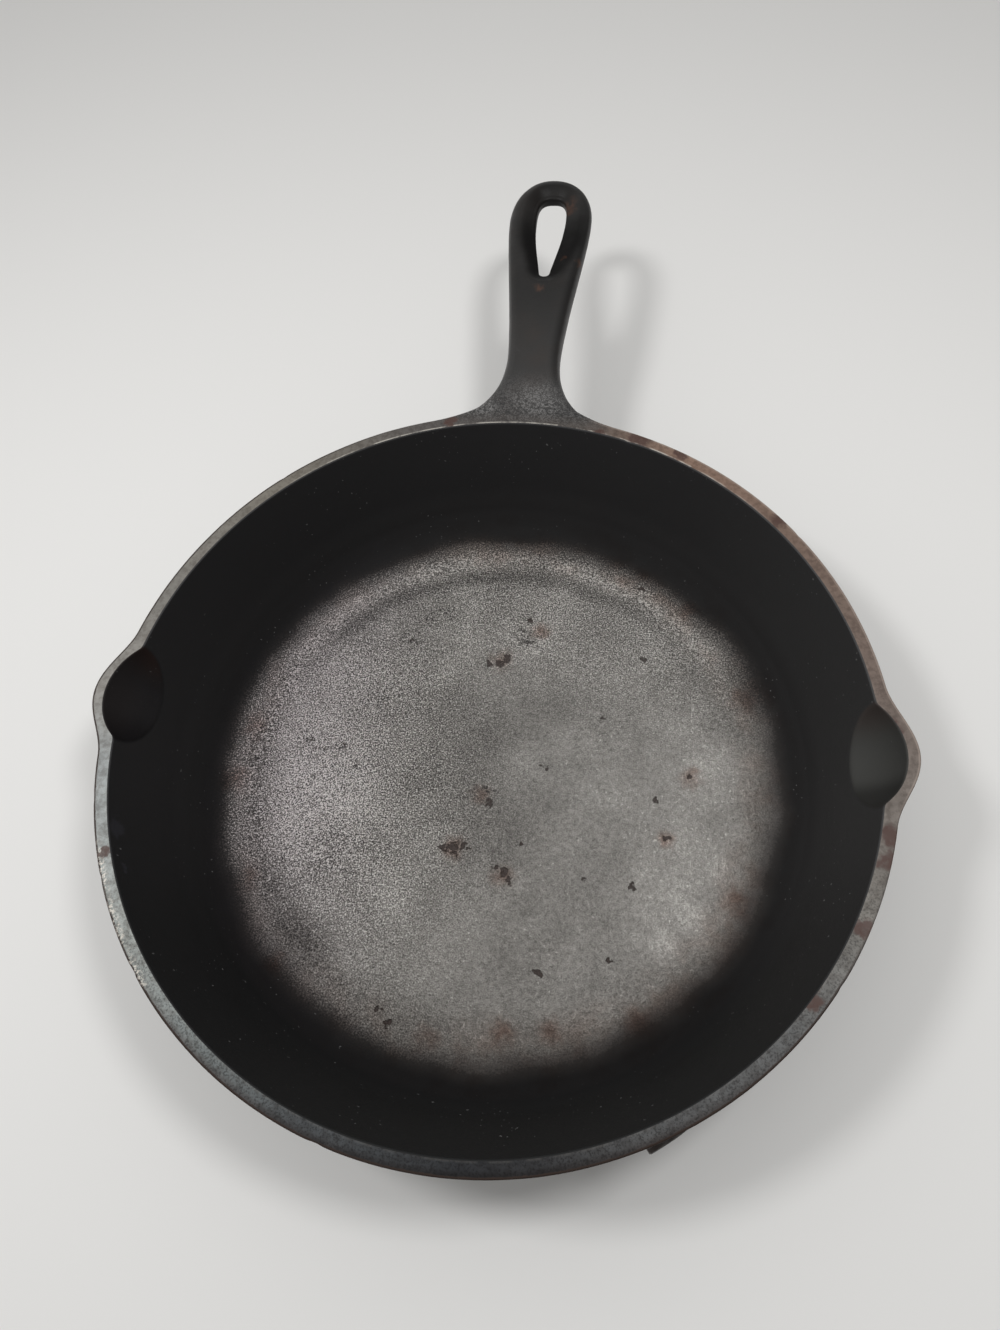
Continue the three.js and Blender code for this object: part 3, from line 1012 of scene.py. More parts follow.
class Finish:
    def __init__(self, name, look):
        self.look = look
        self.grains = {}
        self.material = bpy.data.materials.new(name)
        self.material.use_nodes = True
        self.add = nodesOf(self.material.node_tree)
        metres = self.add("ShaderNodeTexCoord").outputs["Object"]
        self.place = self.vector("MULTIPLY", metres, (1 / mm, 1 / mm, 1 / mm))
        self.x, self.y, self.z = self.add("ShaderNodeSeparateXYZ", {0: self.place}).outputs
        self.reach = self.vector("LENGTH", self.vector("MULTIPLY", self.place, (1, 1, 0)))
        self.angle = self.math("ARCTAN2", self.y, self.x)
        shaken = self.vector("SUBTRACT", self.noise(self.place, wobble["size"])["Color"], (0.5, 0.5, 0.5))
        self.wobbly = self.vector("ADD", self.place, self.vector("MULTIPLY", shaken, wobble["reach"]))

    def vector(self, operation, a, b=(0, 0, 0)):
        made = self.add("ShaderNodeVectorMath", {0: a, 1: b}, operation=operation)
        return made.outputs["Value" if operation in ("DISTANCE", "LENGTH") else "Vector"]

    def math(self, operation, a, b=0.0):
        return self.add("ShaderNodeMath", {0: a, 1: b}, operation=operation).outputs[0]

    def joined(self, operation, first, *others):
        for other in others:
            first = self.math(operation, first, other)
        return first

    def times(self, *values):
        return self.joined("MULTIPLY", *values)

    def plus(self, *values):
        return self.joined("ADD", *values)

    def most(self, *values):
        return self.joined("MAXIMUM", *values)

    def noise(self, place, size, detail=2.0, roughness=0.5):
        made = {"Vector": place, "Scale": 1 / size, "Detail": detail, "Roughness": roughness}
        return self.add("ShaderNodeTexNoise", made).outputs

    def grain(self, name):
        if name not in self.grains:
            size, detail, roughness, shift = self.look["grains"][name]
            moved = self.vector("ADD", self.place, [share * shift / mm for share in (1, 0.7, 0.3)])
            self.grains[name] = self.noise(moved, size, detail, roughness)["Fac"]
        return self.grains[name]

    def contrast(self, grain, *shares):
        return self.times(self.math("SUBTRACT", self.grain(grain), 0.5), *shares)

    def fade(self, value, *limits, **kind):
        return fadeBy(self.add, value, *limits, **kind)

    def source(self, name):     # a grain, a value of the mesh, or one that the finish holds
        if name in self.look["grains"]:
            return self.grain(name)
        return self.value(name) if name in values else getattr(self, name)

    def mask(self, name):
        along, *limits = self.look["masks"][name]
        return self.fade(self.source(along), *limits)

    def masked(self, *names):
        return self.times(*(self.mask(name) for name in names))

    def between(self, value, low, middle, high):
        return self.times(self.fade(value, low, middle), self.fade(value, high, middle))

    def band(self, name):
        along, *limits = self.look["bands"][name]
        return self.between(self.source(along), *limits)

    def blend(self, share, a, b, mode="MIX"):
        made = self.add("ShaderNodeMix", {0: share, 6: a, 7: b}, data_type="RGBA", blend_type=mode)
        return made.outputs[2]

    def layered(self, colour, layers, mode="MIX"):
        for tint, *shares in layers:
            colour = self.blend(self.times(*shares), colour, self.look[tint], mode)
        return colour

    def blendValue(self, share, a, b):
        return self.add("ShaderNodeMix", {0: share, 2: a, 3: b}, data_type="FLOAT").outputs[0]

    def ramp(self, value, stops):
        ramp = self.add("ShaderNodeValToRGB", {"Fac": value})
        elements = ramp.color_ramp.elements
        elements.remove(elements[1])
        for k, (place, tint) in enumerate(stops):
            stop = elements[0] if k == 0 else elements.new(place)
            stop.position = place
            stop.color = rgb(*tint)
        return ramp.outputs["Color"]

    def value(self, name):
        return self.add("ShaderNodeAttribute", attribute_name=name).outputs["Fac"]

    def spots(self, level, places, soft):
        away = [(self.vector("DISTANCE", self.wobbly, (x, y, level)), size) for x, y, size in places]
        return self.most(*(self.fade(distance, size, size * soft) for distance, size in away))

    def bump(self, height, distance):
        return self.add("ShaderNodeBump", {"Height": height, "Distance": distance * mm}).outputs["Normal"]

    def finish(self, colour, roughness, metallic, normal, specular):
        shader = self.material.node_tree.nodes["Principled BSDF"]
        made = {"Base Color": colour, "Roughness": roughness, "Metallic": metallic, "Normal": normal,
                "Specular IOR Level": specular}
        for name, value in made.items():
            self.material.node_tree.links.new(value, shader.inputs[name])
        return self.material


cooking = {
    "tones": [              # from untouched black seasoning to bare tips of the grain
        (0.0, (0.0082, 0.0078, 0.0080)),
        (0.2, (0.020, 0.018, 0.017)),
        (0.4, (0.066, 0.060, 0.056)),
        (0.6, (0.158, 0.150, 0.139)),
        (0.8, (0.315, 0.302, 0.282)),
        (1.0, (0.640, 0.618, 0.583)),
    ],
    "ringWear": -0.14,      # painted shade: the dark line on the far side, just inside the step
    "stepWear": 0.05,       # and painted highlight on the step
    "uneven": 7,            # the worn floor's edge wanders in and out within this
    "cloudWear": 0.32,
    "blotchWear": 0.16,
    "dotWear": -0.34,
    "sparkleWear": 0.13,
    "scoopEdge": (-2, -0.2, 1.6),       # a scoop's look comes in and goes out here, from its sphere
    "grains": {             # size, detail, roughness, and in metres how far the pattern is moved
        "fine": (0.565, 3, 0.6, 0),
        "coarse": (1.7, 2, 0.5, 0.7),
        "blotches": (11, 4, 0.6, 0.12),
        "clouds": (36, 3, 0.55, 0.31),
        "edge": (22, 2, 0.5, 0),
        "dots": (1.5, 1, 0.5, 3.1),
        "sparkle": (1.1, 0, 0.5, 4.3),
        "sparkling": (17, 2, 0.6, 3.7),
        "pits": (1.1, 2, 0.6, 0.4),
        "specks": (1.2, 1, 0.5, 1.9),
        "specked": (24, 1, 0.5, 2.2),
    },
    "bands": {              # along which value, and where it comes in, is full and goes out again
        "ring": ("warped", 80, 86.5, 92.5),
        "step": ("warped", 89.5, 94.5, 101),
        "shoulder": ("warped", 82, 94.5, 101),      # near the edge of the worn floor on the near side
        "shade": ("z", 5, 12.5, 24),
    },
    "masks": {              # along which value, from where to where, and how much there and there
        "centre": ("warped", 45, 12, 0.660, 0.580),     # how worn the open floor is, and its middle, which is painted darker as painted shade
        "onFloor": ("warped", 110, 95),     # the wear fades in, down the cove
        "brownEdge": ("warped", 84, 101),
        "floorGrain": ("onFloor", 0, 0.6, 0.1, 1),
        "coveShade": ("onFloor", 0.6, 0),
        "filmOffFloor": ("onFloor", 0.3, 0, 0.1, 0.8),
        "speckOffFloor": ("onFloor", 0.6, 0.1),
        "bare": ("onFloor", 0.45, 1),
        "inCove": ("onFloor", 0.8, 0.1),
        "deepGrain": ("onFloor", 0, 0.8, 0.07, 1),
        "besideScoop": ("inScoop", 0.8, 0.2),
        "scoopGloss": ("scoopFront", 0, 1, 1, 0.45),
        "pitted": ("pitDepth", 0.66, 0.84),
        "floorRoughness": ("fine", 0.3, 0.7, 0.53, 0.33),
        "edgeShift": ("y", 55, 98, -1.2, 1.8),
        "farSide": ("y", 20, 60),
        "ringSide": ("x", 35, 70, 1, 0.25),
        "nearSide": ("y", 45, 0),
        "shoulderWear": ("x", 0, -70, -0.03, -0.14),
        "leftGrain": ("x", 30, -60, 0.45, 3.3),
        "leftGrainFront": ("y", -85, -20, 0.45, 1),
        "leftGrainFar": ("y", 75, 20, 0.7, 1),
        "farGrain": ("y", 0, 80, 0.45, 2.6),
        "violet": ("x", -20, -90, 0, 0.7),
        "brown": ("x", -50, 0, 0.5, 1),
        "scoop": ("x", -100, 100),
        "scoopFront": ("y", -2, -13),
        "scoopBack": ("y", 6, 18),
        "scoopTop": ("z", 30, 44, 0, 0.7),
        "leftScoop": ("x", -125, -137),
        "leftHalf": ("x", 0, -50),
        "aboveCove": ("z", 8, 13),
        "rightWall": ("x", 60, 120, 0, 0.5),
        "behindFront": ("y", -70, -10),
        "frontWall": ("y", -20, -90, 0, 0.9),
        "shadedFront": ("y", -90, -20, 0.35, 1),
        "coveHeight": ("z", 25, 8),
        "frontGloss": ("y", -100, -10, 0.45, 1),
        "dots": ("dots", 0.45, 0.37),
        "sparkle": ("sparkle", 0.69, 0.80),
        "sparkling": ("sparkling", 0.46, 0.60),
        "specks": ("specks", 0.735, 0.775),
        "specked": ("specked", 0.42, 0.62),
        "brownBlotches": ("blotches", 0.38, 0.68, 0.1, 0.6),
        "haloBlotches": ("blotches", 0.3, 0.6, 0.35, 0.8),
    },
    "mottling": 0.30,       # contrast of the coarser grain
    "grainDepth": 0.5,
    "violet": rgb(0.93, 0.88, 0.96),
    "brown": rgb(0.60, 0.44, 0.38),
    "pit": rgb(0.029, 0.018, 0.015),
    "halo": rgb(0.62, 0.44, 0.38),
    "scoop": rgb(0.0255, 0.0255, 0.023),
    "leftScoop": rgb(0.024, 0.021, 0.021),
    "scoopBrown": rgb(0.024, 0.013, 0.010),
    "wall": rgb(0.0098, 0.0094, 0.0102),
    "shadedCove": rgb(0.0185, 0.0177, 0.0180),      # painted light: paler, to offset the shade the cove lies in
    "rightWall": rgb(0.019, 0.019, 0.019),
    "frontWall": rgb(0.0055, 0.0058, 0.0060),
    "speck": rgb(0.10, 0.10, 0.10),
    "film": rgb(0.020, 0.020, 0.025),
    "wallRoughness": 0.52,
    "scoopRoughness": 0.78,
    "floorMetallic": 0.45,
    "specular": 0.45,
    "coveSpecular": 0.20,
}

pits = [                    # rust pits on the floor: x, y, size
    (-4, 44, 2.6), (-1, 46, 3.2), (-8, 43, 2.0), (7, 65, 2.0), (-12, -33, 3.4), (-8, -32, 2.2),
    (-16, -33, 2.0), (7, -40, 3.2), (10, -43, 2.8), (4, -38, 1.8), (19.2, 1.5, 2.6), (23.1, -73.3, 2.4),
    (-26, -95, 3.0), (-30, -90, 2.2), (73.5, 2, 2.4), (65.7, -21.7, 2.0), (61.5, -7, 2.2), (37, -40, 1.5),
    (54, -41, 2.2), (47.5, -66.4, 2.0), (12.3, -29, 1.6), (-1, -15, 2.4), (39.6, 23.2, 1.4),
    (54.4, 51, 1.8), (52, 83, 1.8), (-60, 3, 1.6), (-75, 4, 1.8), (-41, 51, 1.8),
]
halos = [                   # soft brown patches near the floor's edge
    (94, 36, 8), (92, -43, 9), (58, -86, 8), (-12, -98, 7), (104, 37, 6), (28, -92, 7), (13, -93, 6),
    (74, 2, 6), (72, 75, 6), (-102, -15, 9), (-98, 8, 8), (65, -22, 5), (51, 90, 6), (45, 88, 5),
    (-70, -80, 6), (12, 60, 6), (-12, -33, 7), (-87, -52, 7), (7, -41, 7), (-3, 45, 7), (-5, -12, 6),
]
dotted = [                  # where the casting has small dark dots: x, y, size
    (7, 55, 6), (4, 59, 4), (-1.6, -9.7, 5), (-76, 5, 5), (-70, -1, 5), (-42, 52, 6), (-35, 62, 5),
    (-62, 2, 4), (-55, -4, 4), (40, 23, 1.5), (-26, 66, 4), (12, -29, 2),
]
wearAndGlintPatches = [             # where the floor is painted lighter or darker: x, y, size, change; partly wear, while the large patches on the left and the near right are painted highlight where the lamps glint
    (76, -42, 42, 0.10), (-72, -6, 40, 0.06), (-58, 62, 28, -0.075), (88, 6, 22, 0.08),
    (91, -16, 7, 0.06), (84, -31, 8, 0.08), (75, -50, 8, 0.08), (66, -61, 8, 0.10), (-88, -8, 14, -0.03),
    (66, -48, 26, 0.05), (-90, -54, 22, -0.04), (-70, -70, 20, -0.05), (-67, 69, 3, 0.12),
    (-85, 26, 2, 0.2), (5, -62, 30, 0.04), (-37, -5, 20, -0.08), (-42, -58, 26, 0.06),
    (-12, -76, 24, 0.07), (64, -4, 34, 0.05), (68, 28, 20, 0.06), (68, -32, 22, 0.05),
    (-8, -38, 18, -0.05), (16, -8, 32, 0.055),
]
greyMarks = {               # where something has rubbed the walls paler: height, then x, y, size
    47.2: [(-118.0, -47.5, 4.2)],
    46.4: [(-111.7, -59.8, 1.5)],
    4: [(50, 85, 1.6)],
}


def inScoops(f):
    centre = rimRadius - pan["rimWidth"] - spout["scoopInset"]
    radius = spout["scoopRadius"]
    places = [(side * centre, 0, panHeight + spout["scoopLift"]) for side in (-1, 1)]
    away = [f.vector("DISTANCE", f.place, place) for place in places]
    return f.most(*(f.between(one, *(radius + more for more in cooking["scoopEdge"])) for one in away))


def floorWearAndLight(f):           # how worn the iron is, from 0 to 1, with painted highlight and painted shade mixed in
    wearAndLight = f.plus(f.mask("centre"),
                  # darker near the worn floor's edge, towards the near left
                  f.times(f.band("shoulder"), f.masked("nearSide", "shoulderWear")),
                  # painted shade just inside the floor's step and painted highlight on it
                  f.times(f.band("ring"), f.masked("farSide", "ringSide"), cooking["ringWear"]),
                  f.times(f.band("step"), f.mask("farSide"), cooking["stepWear"]),
                  f.contrast("clouds", cooking["cloudWear"]),
                  f.contrast("blotches", cooking["blotchWear"]))
    for x, y, size, change in wearAndGlintPatches:
        away = f.vector("DISTANCE", f.place, (x, y, floorTop))
        wearAndLight = f.plus(wearAndLight, f.fade(away, size, 0.2 * size, 0, change))
    wearAndLight = f.plus(wearAndLight,
                  f.times(f.mask("dots"), f.spots(floorTop, dotted, 0.2), cooking["dotWear"]),
                  # painted highlight: bright sparkle spots stand in for the grain's glints
                  f.times(f.masked("sparkle", "sparkling"), cooking["sparkleWear"]))
    # painted highlight: the fine grain's contrast is raised on the left, where the left lamp glints on the
    # floor
    leftGrain = f.masked("leftGrain", "leftGrainFront", "leftGrainFar")
    return f.plus(f.times(wearAndLight, f.onFloor),
                  f.contrast("fine", f.most(leftGrain, f.mask("farGrain")), f.mask("floorGrain")),
                  f.contrast("coarse", f.onFloor, cooking["mottling"]))


def makeCookingFinish():
    f = Finish("cookingIron", cooking)
    f.warped = f.plus(f.reach, f.contrast("edge", cooking["uneven"]), f.mask("edgeShift"))
    f.onFloor = f.math("POWER", f.mask("onFloor"), 0.8)
    colour = f.ramp(floorWearAndLight(f), cooking["tones"])

    # tints of the floor
    colour = f.layered(colour, [
        # painted reflection: the floor's left side is tinted violet, the colour of the glint there
        ("violet", f.mask("violet")),
        ("brown", f.masked("brownEdge", "brownBlotches", "brown")),
        ("halo", f.spots(floorTop, halos, 0.1), f.mask("haloBlotches")),
    ], "MULTIPLY")
    f.pitDepth = f.plus(f.times(f.spots(floorTop, pits, 0.25), 0.5), f.times(f.grain("pits"), 0.8))
    pitted = f.mask("pitted")

    # scoops and walls
    f.inScoop = inScoops(f)
    f.scoopFront = f.times(f.inScoop, f.mask("scoopFront"))
    scoopGloss = f.mask("scoopGloss")
    wall = f.layered(cooking["wall"], [
        ("rightWall", f.masked("rightWall", "behindFront")),
        # painted shade: the inner wall is painted darker towards the front
        ("frontWall", f.mask("frontWall")),
    ])
    colour = f.layered(colour, [
        ("pit", pitted, 0.92),
        ("scoop", f.inScoop, f.mask("scoop"), scoopGloss),
        ("scoopBrown", f.inScoop, f.masked("scoopBack", "scoopTop")),
        ("leftScoop", f.inScoop, f.mask("leftScoop")),
    ])
    colour = f.blend(f.masked("aboveCove", "besideScoop"), colour, wall)
    film = f.most(*(f.spots(level, places, 0.5) for level, places in greyMarks.items()))
    colour = f.layered(colour, [
        # painted light: the cove is painted paler to offset its own shade, less so at the front
        ("shadedCove", f.band("shade"), f.masked("coveShade", "shadedFront")),
        ("film", film, f.mask("filmOffFloor")),
        ("speck", f.masked("specks", "specked", "speckOffFloor")),
    ])

    bare = f.mask("bare")
    wallRough = f.blendValue(f.inScoop, cooking["wallRoughness"], cooking["scoopRoughness"])
    inCove = f.masked("inCove", "coveHeight")
    roughness = f.plus(f.blendValue(bare, wallRough, f.mask("floorRoughness")), f.times(inCove, 0.25))
    specular = f.fade(inCove, 0, 1, cooking["specular"], cooking["coveSpecular"])
    leftGloss = f.fade(f.times(f.inScoop, f.mask("leftHalf")), 0, 1, 1, 0.25)
    specular = f.times(specular, f.mask("frontGloss"), leftGloss, scoopGloss)
    metallic = f.times(bare, f.fade(pitted, 0.5, 0.0), cooking["floorMetallic"])
    height = f.plus(f.grain("fine"), f.times(f.grain("coarse"), 0.9), f.times(pitted, -1.3))
    normal = f.bump(f.times(height, f.mask("deepGrain")), cooking["grainDepth"])
    return f.finish(colour, roughness, metallic, normal, specular)


def holeY(share):           # from the hole's tip to where it is widest
    return hole["tipY"] + share * (hole["wideY"] - hole["tipY"])


seasoned = {
    "body": rgb(0.0130, 0.0120, 0.0114),
    "bodyBrown": rgb(0.0195, 0.0135, 0.0105),
    "grey": rgb(0.075, 0.073, 0.071),
    "rootGrey": rgb(0.17, 0.165, 0.162),
    "groove": rgb(0.0045, 0.0042, 0.0042),
    "wornEdge": rgb(0.085, 0.084, 0.083),
    "rust": rgb(0.074, 0.034, 0.020),
    "rimBrown": rgb(0.050, 0.018, 0.011),
    "rimBlotch": grey(0.60),
    "rimScratch": rgb(0.50, 0.46, 0.44),
    "rimSpeck": rgb(0.35, 0.34, 0.34),
    "rimGlint": grey(1.35),
    "rimFront": rgb(0.42, 0.34, 0.32),
    "bare": rgb(0.52, 0.49, 0.44),
    "fleck": rgb(0.60, 0.56, 0.50),
    "edgeDark": rgb(0.028, 0.018, 0.014),
    "edgeLight": rgb(0.34, 0.28, 0.24),
    "underRim": rgb(0.016, 0.010, 0.008),
    "roughness": 0.40,
    "rimRoughness": 0.55,
    "rimMetallic": 0.35,
    "grainDepth": 0.07,
    "rimGrain": 0.35,       # share of that depth on the rim
    "rootGrain": 5.0,       # and how much more there is on top of the handle's root
    "specular": 0.46,
    "dirtSpecular": 0.10,
    "grains": {
        "clouds": (30, 3, 0.6, 0.2),
        "blotches": (7, 4, 0.65, 0.5),
        "fine": (0.6, 3, 0.6, 0),
        "scratches": (2.2, 3, 0.7, 0.9),
        "root": (0.5, 2, 0.6, 1.3),
        "dimples": (1.2, 1, 0.5, 1.7),
        "flecks": (1.1, 3, 0.7, 1.4),
        "worn": (5, 3, 0.6, 1.1),
        "rust": (2.4, 4, 0.7, 0.6),
        "lumps": (3, 3, 0.6, 0.8),
    },
    "bands": {
        "underRim": ("pastOuterEdge", 0.4, 1.2, 9),
        "flecks": ("pastOuterEdge", -2.4, -0.7, 0.7),
        "groove": ("fromOutline", 0.7, 2.6, 6.2),
    },
    "masks": {
        "rimFront": ("pastOuterEdge", -2.4, -0.5),
        "litLine": ("pastOuterEdge", -0.6, -0.1, 0, 0.5),
        "litSide": ("diagonal", 100, 140),
        "darkLine": ("unevenEdge", -0.45, -0.15),
        "darkSide": ("diagonal", 90, 20),
        "innerRust": ("acrossRim", -0.9, -0.3),
        "rubbedLine": ("fromOutline", 1.5, 0.6),
        "rootGrain": ("rootGrain", 0.57, 0.70),
        "brownClouds": ("clouds", 0.42, 0.7, 0, 0.7),
        "greyBlotches": ("blotches", 0.55, 0.85, 0, 0.16),
        "dimpled": ("dimples", 0.49, 0.41),
        "rimBlotches": ("blotches", 0.35, 0.7, 0, 0.35),
        "rimScratches": ("scratches", 0.60, 0.35, 0, 0.6),
        "rimSpecks": ("fine", 0.50, 0.38),
        "rimGlints": ("fine", 0.35, 0.70, 0, 0.22),
        "rimRust": ("scratches", 0.30, 0.55, 0.7, 1),
        "flecks": ("flecks", 0.50, 0.57),
        "worn": ("worn", 0.36, 0.58),
        "rust": ("rust", 0.30, 0.55),
        "rubbed": ("blotches", 0.35, 0.65, 0.5, 1),
        "rootLevel": ("z", 48.5, 50),
        "rootStart": ("y", 112, 122),
        "rootEnd": ("y", 160, 138),
        "dimples": ("y", 150, 134),
        "speckledSide": ("x", -125, -90, 0.2, 1),
        "speckledFront": ("y", -20, -60, 0, 0.7),
        "frontEdge": ("y", -80, -115, 0, 0.75),
        "underRim": ("y", 115, 90, 0, 0.8),
        "wornFar": ("y", 85, 118, 0.04, 0.75),
        "pastRoot": ("y", 138, 155),
        "gripLevel": ("z", 47, 49),
        "rightGroove": ("x", -2, 3),
        "shine": ("y", 155, 212, 1.05, 0.50),       # the handle shines less and less towards its tip, and is painted darker there as painted shade
        "nearTip": ("y", holeY(0.62), holeY(0.02), 0, 2.2),
        "outerSide": ("x", 1, 6, 0, -3.5),
        "besideTip": ("y", holeY(-0.3), holeY(0.3)),
        "slopeSide": ("x", 5, -3, 0.9, 1),
        "slopeEnd": ("y", holeY(0.50), holeY(1.40), 1, 0.2),
        "frontGloss": ("y", -115, -60, 0.5, 1),
    },
}

rimTintAndReflection = [                  # the ground rim's tint at these angles, from the left spout round by the front: partly its patina, partly painted reflection, pale on the left and near black at the front
    (-180, (0.215, 0.205, 0.188)),
    (-168, (0.262, 0.277, 0.276)),
    (-142, (0.258, 0.274, 0.260)),
    (-126, (0.170, 0.186, 0.184)),
    (-108, (0.068, 0.073, 0.077)),
    (-86, (0.021, 0.022, 0.025)),
    (-76, (0.032, 0.032, 0.034)),
    (-64, (0.082, 0.083, 0.084)),
    (-42, (0.106, 0.108, 0.108)),
    (-24, (0.148, 0.140, 0.126)),
    (10, (0.137, 0.103, 0.086)),
    (30, (0.160, 0.112, 0.088)),
    (62, (0.230, 0.148, 0.108)),
    (80, (0.100, 0.082, 0.070)),
    (108, (0.094, 0.085, 0.080)),
    (134, (0.188, 0.172, 0.144)),
    (160, (0.182, 0.173, 0.156)),
    (180, (0.215, 0.205, 0.188)),
]
rimRust = [                 # x, y, size
    (128.8, -27.7, 4.4), (127.4, -34.6, 3.8), (118.4, -55.6, 3.6), (103.8, -77.3, 3.4), (104, -74, 1.8),
    (30, 125, 3), (46, 124, 6), (62, 117, 4), (-118, -56, 2.2), (-30, 128, 3), (98, 88, 4), (131, 8, 5),
]
handleRust = [              # x, y, size
    (7.0, 257.0, 5.6), (8.2, 252.5, 4.2), (15.4, 217.3, 3.2), (-1.2, 201.0, 3.4), (8.5, 220.5, 1.8),
]
litGrain = [                # painted highlight where the lamps pick out the grain on the handle's root: x, y, size
    (4, 142, 15), (-18, 137, 9),
]
fleckGlintSpots = [                 # bare flecks on the rim's outer edge, painted bright as a highlight where the left lamp glints: x, y, size
    (-118, -62, 12), (-109, -78, 12), (-98, -91, 9),
]


def groundRim(f):
    tints = [((angle + 180) / 360, tint) for angle, tint in rimTintAndReflection]
    rim = f.ramp(f.fade(f.angle, -math.pi, math.pi, kind="LINEAR"), tints)
    rim = f.layered(rim, [
        ("rimBlotch", f.mask("rimBlotches")),
        ("rimScratch", f.mask("rimScratches")),
        ("rimSpeck", f.masked("rimSpecks", "speckledSide", "speckledFront")),
        ("rimGlint", f.mask("rimGlints")),
        ("rimFront", f.masked("rimFront", "frontEdge")),
    ], "MULTIPLY")
    f.diagonal = f.plus(f.x, f.y)
    f.unevenEdge = f.plus(f.value("pastOuterEdge"), f.contrast("scratches", 0.9))
    return f.layered(rim, [
        ("edgeDark", f.masked("darkLine", "darkSide")),
        ("edgeLight", f.masked("litLine", "litSide")),
    ])


def makeSeasonedFinish():
    f = Finish("seasonedIron", seasoned)
    onRim = f.value("rimMask")
    blotches = f.grain("blotches")

    # the top of the handle's root keeps the casting's grain
    nearRoot = f.masked("rootEnd", "rootStart", "rootLevel")
    f.rootGrain = f.plus(f.grain("root"), f.times(blotches, 0.25))
    lit = f.spots(panHeight, litGrain, 0.1)
    body = f.layered(seasoned["body"], [
        ("bodyBrown", f.mask("brownClouds")),
        ("grey", f.mask("greyBlotches")),
        # painted highlight: the root is painted greyer inside the lit spots
        ("grey", nearRoot, f.fade(lit, 0, 1, 0.05, 0.45)),
        ("rootGrey", nearRoot, f.mask("rootGrain"), f.fade(lit, 0, 1, 0.40, 0.95)),
        ("groove", nearRoot, f.masked("dimpled", "dimples"), 0.8),
    ])
    colour = f.blend(onRim, body, groundRim(f))

    # bare metal: flecks on the rim's outer edge, painted bright as a highlight where the left lamp glints,
    # and a worn line on its inner edge
    flecks = f.times(f.band("flecks"), f.spots(panHeight, fleckGlintSpots, 0.3), f.mask("flecks"))
    worn = f.times(f.fade(f.math("ABSOLUTE", f.value("acrossRim")), 0.75, 0.25), f.masked("worn", "wornFar"))
    rusty = f.times(f.spots(panHeight, rimRust, 0.55), f.masked("innerRust", "rimRust"))
    handleRusty = f.times(f.spots(panHeight + handle["rise"] - 1, handleRust, 0.1), f.mask("rust"))

    # handle: painted highlight along its borders, painted shade in a band inside the right border, towards
    # the tip and on the slope down into the hole
    beyond = f.masked("pastRoot", "gripLevel")
    # painted shade: a dark band inside the handle's right border
    groove = f.times(f.band("groove"), f.mask("rightGroove"), beyond)
    shine = f.mask("shine")
    rubbed = f.times(f.masked("rubbedLine", "rubbed"), beyond)
    fromSlope = f.plus(f.value("fromHole"), f.mask("nearTip"), f.masked("outerSide", "besideTip"))
    # painted shade: the slope down into the hole is painted dark
    slope = f.times(f.fade(fromSlope, 11, 3.5), f.masked("slopeSide", "slopeEnd"))
    colour = f.layered(colour, [
        ("underRim", f.band("underRim"), f.mask("underRim")),
        ("fleck", flecks, 0.85),
        ("bare", worn),
        ("rimBrown", rusty, 0.95),
        # painted shade: the handle's colour darkens towards its tip
        ("groove", f.fade(shine, 1, 0.5, 0, 0.5)),
        ("groove", groove, 0.5),
        # painted highlight along the handle's rounded borders
        ("wornEdge", rubbed, 0.55),
        ("groove", slope, 0.9),
        ("rust", handleRusty, 0.65),
    ])

    unrusted = f.fade(f.most(rusty, handleRusty), 0.6, 0.1)
    metallic = f.times(f.most(onRim, worn), unrusted, seasoned["rimMetallic"])
    plain, ground = seasoned["roughness"], seasoned["rimRoughness"]
    rough = f.fade(blotches, 0.3, 0.7, plain - 0.06, plain + 0.08)
    rough = f.plus(rough, f.times(f.most(slope, nearRoot), 0.16))
    roughness = f.blendValue(onRim, rough, f.fade(blotches, 0.3, 0.7, ground - 0.04, ground + 0.06))
    slopeShade = f.most(slope, f.times(groove, 0.4))
    specular = f.times(f.fade(slopeShade, 0, 1, seasoned["specular"], seasoned["dirtSpecular"]), shine,
                       f.mask("frontGloss"))
    depth = f.plus(f.blendValue(onRim, 1.0, seasoned["rimGrain"]), f.times(nearRoot, seasoned["rootGrain"]))
    height = f.times(f.plus(f.grain("fine"), f.times(f.grain("lumps"), 0.8)), depth)
    return f.finish(colour, roughness, metallic, f.bump(height, seasoned["grainDepth"]), specular)


cookingIron = makeCookingFinish()
seasonedIron = makeSeasonedFinish()
print("finishes made")

